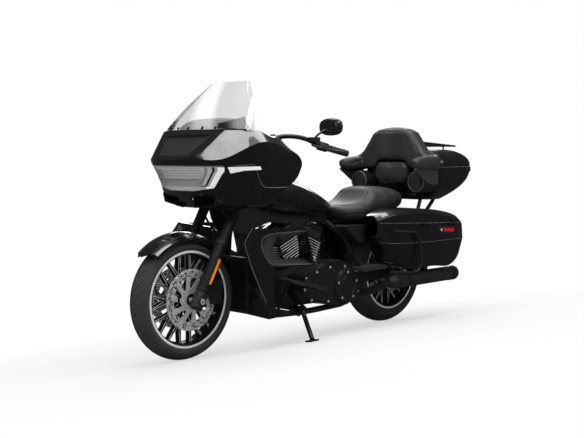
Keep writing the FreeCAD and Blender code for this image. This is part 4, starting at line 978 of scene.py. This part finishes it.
FORK_HALF, FENDER_EDGE = 125, 338
fork, bright, amber = Shape(), Shape(), Shape()
for side in SIDES:
    foot = FRONT_MM + Y * side * FORK_HALF
    outer = Y * side
    lathe(fork, foot + LEG * 322, LEG,
          [(-4, 34.2), (-3, 36.6), (3, 37.2), (10, 36.6), (14, 33), (20, 28.4)], 40)
    lathe(fork, foot + LEG * 60, LEG, [(-2, 34.1), (0, 35.4), (6, 35.4), (8, 34.1)], 40)
    lathe(fork, foot + LEG * 6, LEG, [(-52, 26), (-50, 30), (-44, 34.6), (30, 34.8), (36, 34.1)], 40)
    lathe(bright, FRONT_MM + outer * 158, outer,
          [(0, 15), (3, 15), (4.5, 13.5), (4.5, 9), (2, 8.6), (2, 3)], 24)
    lathe(fork, FRONT_MM + outer * 152, outer, [(0, 24), (6, 24), (8, 22), (8, 16)], 32)
    lamp_turn = Matrix((-LEG.cross(Y), Y, LEG)).transposed()
    box_at(amber, foot + LEG * 168 + outer * 35.2, (7.5, 2.6, 70), 1.6, lamp_turn)
    box_at(fork, foot + LEG * 168 + outer * 33.8, (9.5, 2.0, 74), 1.4, lamp_turn)
    for height in (30, 96):
        at = foot + LEG * height - X * 42
        bolt(bright, Vector((at.x, side * 118, at.z)), outer, 6.5, 6)
fork.make("fork_collars", SATIN, "fork_metal", "steering")
bright.make("axle_caps", STEEL, "axle_steel", "steering")
amber.make("fork_reflectors", AMBER, "lamp_red", "steering")

# Pale line along the front fender's edge: a painted highlight.
fender = Shape()
for side in SIDES:
    arc = [math.radians(44 + 116 * k / 49) for k in range(50)]
    origins = [FRONT_MM * Vector((1, 0, 1)) + Vector((math.cos(a) * FENDER_EDGE, side * 260,
                                                      math.sin(a) * FENDER_EDGE)) for a in arc]
    fender.bar(drape_all("front_fender", origins, -Y * side, 0.2), 0.7)
fender.make("fender_edge_highlight", EDGE_HIGHLIGHT, "gloss_black", "steering")

GRIP_START, GRIP_END = Vector((145, 377, 1106)), Vector((35, 437, 1072))
rings, mirror_glass = Shape(), Shape()
for side in SIDES:
    flip = Vector((1, side, 1))
    along = (GRIP_END - GRIP_START).normalized() * flip
    end = GRIP_END * flip + along * 6
    for k in range(13):
        lathe(rings, end - along * (12 + k * 7.6), along,
              [(-2.2, 16.8), (-1.6, 18.2), (1.6, 18.2), (2.2, 16.8)], 28)
    lathe(rings, end, along, [(-2, 17.6), (4, 17.6), (6, 15), (6, 6), (4, 5)], 28)
    eye = Vector((-400, side * 395, 1215))
    middle = drape("mirrors", eye, X, 0.6)
    rim = drape_all("mirrors", [eye + Vector((0, math.cos(a) * 58, math.sin(a) * 32)) for a in turns(40)],
                    X, 0.7)
    mirror_glass.grid([[middle + (p - middle) * share for p in rim] for share in (0.02, 0.5, 0.96, 1.0)])
rings.make("grip_rings", RUBBER, "rubber", "steering")
mirror_glass.make("mirror_glass", BRIGHT, "control_black", "steering", 60)


# Leg shields

LOWER_FACE = 302.4
RECESS = [(484, 650), (536, 594), (475, 501), (386, 485), (156, 471), (205, 655)]
DUCT = [(350, 628), (380, 580), (350, 516), (300, 505), (150, 500), (160, 620)]
BORDER = [(600, 690), (655, 622), (615, 507), (560, 400), (503, 298)]
# Pale lines round each lower's recess and along its border are painted highlights.
edges, panels = Shape(), Shape()
for side in SIDES:
    def on_face(points, side=side):
        return [Vector((x, side * LOWER_FACE, z)) for x, z in points]
    edges.bar(curve_points(on_face([(205, 655)] + RECESS[:5]), 3), 1.1)
    edges.bar(on_face(BORDER), 0.9)
    rows = []
    for share in (0.0, 0.34, 0.67, 1.0):
        depth = side * (299 - 62 * share ** 0.8)
        points = (Vector(p).lerp(Vector(q), share * 0.92) for p, q in zip(RECESS, DUCT))
        rows.append([Vector((x, depth, z)) for x, z in points])
    panels.grid(rows)
edges.make("lower_edge_highlights", EDGE_HIGHLIGHT, "gloss_black")
panels.make("lower_duct_panels", DUCT_GREY, "gloss_black", smooth=20)


# Engine

CRANK = Vector((20, 0, 335))
BASE, FINS, PITCH, FIN_HALF = 138, 9, 15, 82.2
HEAD_TOP = BASE + FINS * PITCH + 78.3
COVER_MIDDLE = 320
fins, caps = Shape(), Shape()
for tilt in (22.5, -22.5):
    turn = Matrix.Rotation(math.radians(tilt), 3, "Y")

    def place(x, y, z, turn=turn):
        return CRANK + turn @ Vector((x, y, z))

    up = turn @ Z
    for number in range(FINS):
        level = BASE + PITCH * number + 2.5
        for side in SIDES:
            fins.bar([place(x, side * FIN_HALF, level) for x in (-70, 70)], 1.5, 6)
            fins.bar([place(side * FIN_HALF, y, level) for y in (-66, 66)], 1.5, 6)
    for y in (-50, 50):
        for x in (-44, 44):
            bolt(caps, place(x, y, HEAD_TOP), up, 6, 6)
    for side in SIDES:
        for x in (-46, 0, 46):
            bolt(caps, place(x, side * 77.42, HEAD_TOP - 24), Y * side, 5, 5)
        for x in (-30, 30):
            tube(caps, [place(x, side * 62, 96), place(x, side * 66, 200), place(x, side * 60, 300)], 8, 10)
    for rise, width in ((0, 40), (5, 30)):
        ridge = ((-1, 0), (1, 0), (0.9, 4.5), (-0.9, 4.5))
        caps.grid([[place(share * width, y, HEAD_TOP + rise + h) for share, h in ridge]
                   for y in (-30, 30)], ends=True)
fins.make("fin_edges", BRIGHT, "engine_black")
caps.make("rocker_details", METAL_BLACK, "cover_black")


def cover_bolts(shape, node, side, share, places):
    """Bolts round a cover, pulled in from its outline."""
    origins = [(x * 0.96, side * FAR_SIDE, COVER_MIDDLE + (z - COVER_MIDDLE) * share) for x, z in places]
    for hit in drape_all(node, origins, -Y * side):
        bolt(shape, hit, Y * side, 5, 5)


DERBY, AIR = Vector((-208, 238, 308)), Vector((22, -202, 560))
PRIMARY = [(132, 306), (120, 384), (34, 410), (-78, 428), (-208, 424), (-306, 390), (-312, 262),
           (-210, 212), (-62, 232), (78, 256)]
cover, screws = Shape(), Shape()
lathe(cover, DERBY, Y, [(-10, 103), (-4, 103), (-1, 98), (0, 92), (1.5, 90), (3, 84), (3.4, 60), (4.2, 20),
                        (4.4, 2)], 72)
lathe(cover, DERBY + Y * 4, Y, [(-4, 62), (1.6, 60), (2.2, 56), (0.4, 54), (0.2, 4)], 64)
lathe(cover, (70, 225, 330), Y, [(-4, 50), (0, 50), (3, 46), (3.5, 10)], 48)
cover.bar(side_line("primary_cover", PRIMARY + PRIMARY[:1], 0.6, 6), 1.6, 6)
for a in turns(5, 0.25):
    bolt(screws, DERBY + Vector((math.cos(a) * 80, 3, math.sin(a) * 80)), Y, 4.6, 3)
cover_bolts(screws, "primary_cover", 1, 0.93, (
    (140, 318), (128, 386), (38, 414), (-76, 434), (-206, 428), (-312, 392), (-322, 262), (-60, 226),
    (84, 250)))
cover.make("primary_details", COVER, "cover_black")
screws.make("primary_screws", STEEL, "cover_black")

cover, screws = Shape(), Shape()
lathe(cover, AIR, -Y, [(-4, 99), (2, 99), (8, 94), (12, 84), (13, 60), (9, 56), (8, 10)], 72)
lathe(cover, AIR + Y * 30, -Y, [(0, 98.2), (1, 99.6), (4, 99.6), (5, 98.2)], 72)
for a in turns(3, 0.5):
    bolt(screws, AIR + Vector((math.cos(a) * 34, -8, math.sin(a) * 34)), -Y, 5, 5)
cover_bolts(screws, "cam_cover", -1, 0.92, (
    (140, 262), (150, 330), (108, 404), (18, 418), (-70, 388), (-82, 300), (-30, 240), (54, 230)))
cover.make("air_cleaner_cover", COVER, "cover_black")
screws.make("right_side_screws", STEEL, "cover_black")

# Covers fill the space behind the fork and under the tank, and dark ducts back the chin's mouths
NECK_PLATES = (
    ([(596, 850), (520, 868), (430, 820), (410, 700), (440, 560), (470, 556), (508, 640), (560, 720)],
     62, 72, 2),
    ([(640, 812), (560, 812), (560, 786), (632, 780)], 30, 180, 2),
    ([(420, 812), (300, 764), (160, 736), (-60, 712), (-96, 650), (60, 650), (120, 676), (260, 690),
      (440, 640)], 52, 62, 3),
    ([(500, 650), (478, 650), (470, 520), (490, 520)], 60, 168, 2))
NECK_TUBES = (([(596, 40, 850), (610, 74, 780), (560, 92, 700), (500, 70, 620)], 6),
              ([(470, 56, 640), (440, 90, 560), (300, 96, 500), (150, 100, 520)], 7))
MOUTH = ((60, 796), (190, 818), (204, 858), (44, 854))
MOUTH_MIDDLE = Vector((124, 832))
neck, chin, grille = Shape(), Shape(), Shape()
for side in SIDES:
    for outline, low, high, bevel in NECK_PLATES:
        plate(neck, outline, side * low, side * high, bevel)
    for points, radius in NECK_TUBES:
        tube(neck, [(x, side * y, z) for x, y, z in points], radius)
    rows = []
    for x, grow in ((770, 12), (744, 6), (702, -6), (690, -14), (688, -24)):
        spread = [MOUTH_MIDDLE + (Vector(p) - MOUTH_MIDDLE) * (1 + grow / 70) for p in MOUTH]
        rows.append([Vector((x, side * y, z)) for y, z in spread])
    chin.grid(rows)
    base = len(chin.verts) - 4
    chin.faces.append(tuple(range(base, base + 4)))
    for y in range(62, 183, 15):
        tube(grille, [(704, side * y, 802), (704, side * (y + 4), 854)], 1.4, 5, 1)
    for k in range(3):
        tube(grille, [(705, side * 54, 812 + k * 14), (705, side * 192, 822 + k * 14)], 1.4, 5, 1)
neck.make("neck_covers", MATTE, "body_plastic")
chin.make("chin_ducts", MATTE, "body_plastic")
grille.make("chin_grilles", SATIN, "body_plastic")


# Saddlebags

GUARD = [(-440, 386, 618), (-560, 402, 608), (-622, 409, 600), (-656, 411, 560), (-676, 411, 460),
         (-668, 409, 386), (-620, 402, 366), (-510, 394, 372), (-420, 380, 380)]
crease_highlights, plates, lamps, locks = Shape(), Shape(), Shape(), Shape()
NAMED_SIDES = ((1, "left"), (-1, "right"))
for side, name in NAMED_SIDES:
    bag, cast = "saddlebag_" + name, beside(side)
    # Pale lines along the bag's waist crease and the lid's crease are painted highlights.
    waist = [(-330, 560), (-460, 544), (-620, 538), (-880, 538), (-1130, 538)]
    crease_highlights.bar(cast(bag, waist, 0.1, 10), 0.7)
    lid_line = cast("bag_lid_" + name, [(-392, 665), (-700, 654), (-900, 646), (-1126, 637)], 0.1, 12)
    Shape().bar(lid_line, 0.8).make("lid_crease_" + name, EDGE_HIGHLIGHT, "body_plastic", name + "_bag_lid")
    band(plates, bag, [(-858, 626), (-1034, 616)], [(-866, 578), (-1030, 572)], 1.4, 1.4, 8, cast)
    band(lamps, bag, [(-912, 614), (-1024, 607)], [(-914, 590), (-1020, 585)], 3.0, 1.6, 8, cast)
    lock = drape(bag, (-889, side * FAR_SIDE, 602), -Y * side, 2)
    lathe(locks, lock, Y * side, [(-2, 9), (3, 9), (4.5, 7.5), (4.5, 2)], 24)
    box_at(locks, lock + Y * side * 4.6, (2, 1, 6), 0.4)
    plates.bar(curve_points([(x, side * y, z) for x, y, z in GUARD], 6), 8, 12)
crease_highlights.make("bag_crease_highlights", EDGE_HIGHLIGHT, "gloss_black")
plates.make("bag_plates_and_guards", SATIN, "gloss_black")
lamps.make("bag_reflectors", RED, "lamp_red")
locks.make("bag_locks", STEEL, "gloss_black")


# Top case and speaker pods

SPEAKER, GRILLE_RADIUS = Vector((-853, 232, 893)), 50
POD_SHELL = [(-742, 968), (-764, 1000), (-980, 1000), (-984, 876), (-930, 872), (-862, 890)]
lines, latches, grilles, ribs, shells = Shape(), Shape(), Shape(), Shape(), Shape()
for side in SIDES:
    # Pale line along the top case's seam: a painted highlight.
    lines.bar(drape_all("top_case", [(-1010 - 400 * k / 23, side * FAR_SIDE, 984) for k in range(24)],
                        -Y * side, 0.3), 1.0)
    hit = drape("top_case", (-1330, side * FAR_SIDE, 968), -Y * side, 1)
    box_at(latches, hit, (22, 5, 16), 2.5)
    lathe(latches, hit + Y * side * 4, Y * side, [(0, 8), (6, 8), (8, 6), (8, 1)], 20)
    centre = SPEAKER * Vector((1, side, 1))
    lathe(ribs, centre, X, [(-6, 64), (2, 65.5), (6, 62), (7, 56), (4, 53), (0, 52)], 56)
    lathe(grilles, centre, X, [(-2, 54), (3.4, 53), (6, 44), (8, 28), (9, 8), (9, 1)], 56)
    for k in range(-7, 8):
        z = k * 6.6
        half = math.sqrt(GRILLE_RADIUS ** 2 - z * z)
        tube(ribs, [centre + Vector((9.6 - (7 * y * y + 3 * z * z) / GRILLE_RADIUS ** 2, y, z))
                    for y in (-half, -half * 0.5, 0, half * 0.5, half)], 1.5, 6, 4)
    plate(shells, POD_SHELL, side * 299, side * 309, 3)
lines.make("case_line_highlights", EDGE_HIGHLIGHT, "gloss_black")
latches.make("case_latches", SATIN, "gloss_black")
grilles.make("speaker_grilles", DARK, "body_plastic")
ribs.make("speaker_ribs", GRILLE_GREY, "body_plastic")
shells.make("pod_shells", SHELL_GREY, "body_plastic")


# Boards: ribbed rubber treads

BOARD_SIDE, BOARD_TILT = 317, Matrix.Rotation(math.radians(-15.3), 3, "Y")
for side, name in NAMED_SIDES:
    tread = Shape()
    for k in range(11):
        share = (k + 0.5) / 11
        box_at(tread, (340 - 245 * share, side * BOARD_SIDE, 403 - 67 * share), (5, 48, 3.0), 1.3,
               BOARD_TILT)
    tread.make("rider_tread_" + name, RUBBER, "board_rubber", name + "_rider_board")
for side, name in NAMED_SIDES:
    tread = Shape()
    for k in range(9):
        box_at(tread, (-408 + k * 24, side * BOARD_SIDE, 421.5), (5, 38, 2.8), 1.2)
    tread.make("passenger_tread_" + name, RUBBER, "board_rubber", name + "_passenger_board")


# Mufflers and seat stitching

MUFFLER_START, MUFFLER_END = Vector((-520, 318, 310)), Vector((-1144, 318, 310))
tips, clamps = Shape(), Shape()
for side in SIDES:
    flip = Vector((1, side, 1))
    lathe(tips, MUFFLER_END * flip, -X, [(-70, 44.2), (-66, 45.6), (-12, 45.4), (-2, 42), (2, 36), (0, 31),
                                         (-30, 29), (-60, 28), (-60, 1)], 48)
    for shift in (24, 120):
        lathe(clamps, MUFFLER_START * flip - X * shift, -X, [(-6, 45), (-5, 46.6), (5, 46.6), (6, 45)], 48)
tips.make("muffler_tips", COVER, "exhaust_black")
clamps.make("muffler_clamps", METAL_BLACK, "exhaust_black")

SEAT_TREE = BVHTree.FromObject(bpy.data.objects["padded_seat"], bpy.context.evaluated_depsgraph_get())


def on_seat(origin, direction, lift=0.0):
    hit, normal, _, _ = SEAT_TREE.ray_cast(TO_ROW @ (Vector(origin) * SCALE), TO_ROW.to_3x3() @ direction)
    return None if hit is None else unleaned(hit + normal * lift * SCALE)


def stitch_seat(shape, points):
    """Thread along a seen-from-above (x, y) line on the padded seat."""
    hits = [on_seat((x, y, FAR_ABOVE), -Z, 0.5) for x, y in points]
    stitches(shape, [hit for hit in hits if hit is not None])


thread = Shape()
for k in range(3):
    for off in (-8, 8):
        stitch_seat(thread, [(-592 - k * 26 + off + 16 * (y / 170) ** 2, y) for y in range(-150, 151, 6)])
edge = [(x, bolster_half(x) + 7) for x in (-330 - 230 * k / 40 for k in range(41))]
for side in SIDES:
    stitch_seat(thread, [(x, side * y) for x, y in edge if y > 40])
thread.make("seat_stitching", THREAD, "seat_leather")
knob = Shape()
lathe(knob, on_seat((-386, FAR_SIDE, 704), -Y), Y, [(-4, 8), (5, 8), (7, 6.4), (7, 1)], 24)
knob.make("seat_knob", SATIN, "seat_leather")


# Tail lamp and blank plate

LAMP_HEIGHT, PLATE_HEIGHT = 560, 455


def lamp_rows(sizes):
    """Rounded rectangles across the car at (x, half width, half height)."""
    return [[Vector((x, squared(math.cos(a), 0.4) * y, LAMP_HEIGHT + squared(math.sin(a), 0.5) * z))
             for a in turns(40, 0.5)] for x, y, z in sizes]


lens, housing, blank = Shape(), Shape(), Shape()
lens.grid(lamp_rows(((-1188, 70, 20), (-1196, 71, 21), (-1210, 70, 20), (-1218, 62, 15), (-1220, 40, 8))),
          ends=True)
for k in range(-4, 5):
    box_at(lens, (-1217, k * 13, LAMP_HEIGHT), (2.4, 1.2, 13), 0.5)
housing.grid(lamp_rows(((-1184, 70, 20), (-1188, 74, 24), (-1202, 74, 24), (-1204, 72, 22))), ends=True)
box_at(housing, (-1146, 0, LAMP_HEIGHT), (44, 24, 12), 2)
box_at(housing, (-1200, 0, 522), (10, 20, 24), 2)
box_at(housing, (-1207, 0, PLATE_HEIGHT), (2.0, 92, 57), 1.2)
for y in (-60, 60):
    for z in (425, 486):
        bolt(housing, (-1212, y, z), -X, 4, 3)
corners = ((1, 1, 1), (1, 1, 0), (1, -1, 0), (1, -1, 1),
           (-1, -1, 1), (-1, -1, 0), (-1, 1, 0), (-1, 1, 1))
blank.grid([[Vector((x, sy * (90 - shrink - c * 6), PLATE_HEIGHT + sz * (55 - shrink - (1 - c) * 6)))
             for sy, sz, c in corners]
            for x, shrink in ((-1208.6, 0.6), (-1209.4, 0), (-1211.4, 0), (-1212.0, 0.8))], ends=True)
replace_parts(lens.make("tail_lens", RED, "lamp_red"), "tail_lamp")
housing.make("tail_housing", SATIN, "lamp_red")
blank.make("plate_blank", PLATE_WHITE, "lamp_red")


# Dash: blank screen, two gauges and vents on the rider's side

def on_dash(y, z):
    return drape("fairing_inner", (200, y, z), X)


bezels, faces, marks = Shape(), Shape(), Shape()
for y in (-112, 112):
    hit = on_dash(y, 1132)
    lathe(bezels, hit, -X, [(-2, 46), (6, 46), (9, 43), (9, 39), (3, 37.5)], 48)
    lathe(faces, hit, -X, [(0, 38), (3.6, 37.6), (4, 4)], 48)
    for k in range(9):
        a = math.radians(-130 + 260 * k / 8)
        box_at(marks, hit + Vector((-4.6, math.sin(a) * 30, math.cos(a) * 30)), (0.8, 1.2, 3.4), 0.3,
               Matrix.Rotation(-a, 3, "X"))
hit = on_dash(0, 1060)
box_at(bezels, hit, (5, 82, 42), 3)
box_at(faces, hit - X * 4.4, (1.6, 76, 36), 0.8)
for side in SIDES:
    for k in range(4):
        box_at(bezels, on_dash(side * 230, 1050 + k * 14) - X * 2, (4, 44, 3), 1)
bezels.make("dash_bezels", COVER, "matte_black")
faces.make("dash_blank_faces", SCREEN_OFF, "matte_black")
marks.make("dash_marks", LIT, "matte_black")


# Brake lines, fork clamps, tank cap and the rubber strips on the top case

pipes, clamps, cap, strips = Shape(), Shape(), Shape(), Shape()
for side in SIDES:
    foot, inner = FRONT_MM + Y * side * FORK_HALF, Y * side * -40
    tube(pipes, [foot + LEG * up + inner * share - X * back for up, share, back in (
        (120, 1.0, 10), (220, 0.9, 24), (330, 0.9, 18), (430, 0.8, 8), (500, 0.8, 6))], 3.2)
    for height in (300, 350):
        box_at(pipes, foot + LEG * height + inner * 0.7 - X * 12, (7, 8, 5), 1.2)
    lathe(clamps, foot + LEG * 560, LEG, [(-16, 27.2), (-14, 31), (14, 31), (16, 27.2)])
hit = drape("fuel_tank", (150, 84, FAR_ABOVE), -Z)
lathe(cap, hit, (0.1, 0.25, 1), [(-6, 34), (0, 34), (5, 31), (7, 24), (7, 1)], 48)
for a in turns(16):
    box_at(cap, hit + Vector((math.cos(a) * 31, math.sin(a) * 31, 2 - math.sin(a) * 7)), (2, 2, 2), 0.5)
for y in (-150, -75, 0, 75, 150):
    strips.bar(drape_all("top_case_lid", [(-1060 - 22 * k, y, FAR_ABOVE) for k in range(13)], -Z), 3.2, 6)
pipes.make("brake_lines", RUBBER, "control_black", "steering")
clamps.make("fork_clamps", SATIN, "fork_metal", "steering")
cap.make("fuel_cap", COVER, "gloss_black")
strips.make("lid_strips", RUBBER, "rubber", "case_lid")


# Studio

def soft_box(name, place, target, size, power):
    light = bpy.data.lights.new(name, "AREA")
    light.shape = "RECTANGLE"
    light.size, light.size_y = size
    light.energy = power
    lamp = link_object(name, light)
    lamp.location = place
    lamp.rotation_euler = (Vector(target) - Vector(place)).to_track_quat("-Z", "Y").to_euler()


def mixed(tree, share, first, second):
    node = tree.nodes.new("ShaderNodeMixShader")
    for source, socket in zip((share, first, second), node.inputs):
        tree.links.new(source, socket)
    return node.outputs[0]


def seen_mix(tree, plain, mirrored, shown):
    """Plain shader for bounced light, one level for mirror rays and another for the camera."""
    path = tree.nodes.new("ShaderNodeLightPath")
    see = tree.nodes.new("ShaderNodeMath")
    see.operation = "MAXIMUM"
    tree.links.new(path.outputs["Is Camera Ray"], see.inputs[0])
    tree.links.new(path.outputs["Is Transmission Ray"], see.inputs[1])
    mirror = mixed(tree, path.outputs["Is Glossy Ray"], plain, mirrored)
    return mixed(tree, see.outputs[0], mirror, shown)


def glow(tree, kind, level):
    node = tree.nodes.new(kind)
    node.inputs["Color"].default_value = (level, level, level, 1)
    return node.outputs[0]


def make_floor():
    """White floor that fades to pure white away from the motorcycle and stays dark in the paint."""
    data = bpy.data.meshes.new("floor")
    half = 60.0
    corners = [(-half, -half, 0), (half, -half, 0), (half, half, 0), (-half, half, 0)]
    data.from_pydata(corners, [], [(0, 1, 2, 3)])
    material = new_material("floor_white", (0.62, 0.62, 0.62), 0.9)
    data.materials.append(material)
    tree, shader = material.node_tree, shader_of(material).outputs[0]
    reach = add_node(material, "ShaderNodeVectorMath", operation="LENGTH")
    link(material, object_place(material), reach.inputs[0])
    fade = add_node(material, "ShaderNodeMapRange")
    set_inputs(fade, From_Min=1.2, From_Max=2.6, To_Min=0.6, To_Max=1.0)
    link(material, reach.outputs["Value"], fade.inputs["Value"])
    shown = mixed(tree, fade.outputs[0], shader, glow(tree, "ShaderNodeEmission", 1.0))
    seen = seen_mix(tree, shader, glow(tree, "ShaderNodeEmission", 0.05), shown)
    link(material, seen, tree.nodes["Material Output"].inputs[0])
    link_object("floor", data)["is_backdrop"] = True


def make_world():
    """White backdrop for the camera, soft light for bounces, near-black for mirror rays."""
    world = bpy.data.worlds.new("studio")
    bpy.context.scene.world = world
    world.use_nodes = True
    tree = world.node_tree
    plain = glow(tree, "ShaderNodeBackground", 0.45)
    mirrored = glow(tree, "ShaderNodeBackground", 0.06)
    shown = glow(tree, "ShaderNodeBackground", 1.0)
    tree.links.new(seen_mix(tree, plain, mirrored, shown), tree.nodes["World Output"].inputs[0])


def make_camera():
    """Camera of the photograph, fitted to the wheels' ellipses; it leans with the motorcycle."""
    photo_width = 584
    focal_pixels = 952.9
    turn, dip = math.radians(45.23), math.radians(4.0206)
    place = Vector((3.902, 3.855, 1.079))
    ahead = Vector((-math.sin(turn) * math.cos(dip), -math.cos(turn) * math.cos(dip), -math.sin(dip)))
    right = Vector((-math.cos(turn), math.sin(turn), 0))
    up = right.cross(ahead)
    axes = Matrix((right, up, -ahead)).transposed().to_4x4()
    data = bpy.data.cameras.new("camera")
    data.lens = focal_pixels / photo_width * data.sensor_width
    data.shift_x = 1 / photo_width
    camera = link_object("camera", data)
    camera.matrix_world = TO_ROW @ Matrix.Translation(place) @ axes
    bpy.context.scene.camera = camera


bpy.context.scene.view_settings.view_transform = "Standard"
soft_box("long_strip", (1.0, 1.5, 3.6), (1.0, 1.5, 0), (4.8, 0.9), 105)
soft_box("overhead", (-0.7, -0.4, 3.8), (-0.7, -0.4, 0), (2.6, 1.4), 50)
soft_box("behind", (-3.2, -2.8, 3.4), (0.2, 0, 0.7), (3.4, 1.7), 120)
soft_box("left_side", (-0.6, 4.2, 2.4), (0, 0, 0.6), (3.0, 0.7), 36)
soft_box("front", (4.6, -0.6, 2.4), (0.6, 0, 0.6), (1.2, 1.8), 30)
soft_box("camera_fill", (3.0, 5.0, 3.6), (0, 0, 0.6), (2.4, 1.6), 40)
make_floor()
make_world()
make_camera()

low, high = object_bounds()
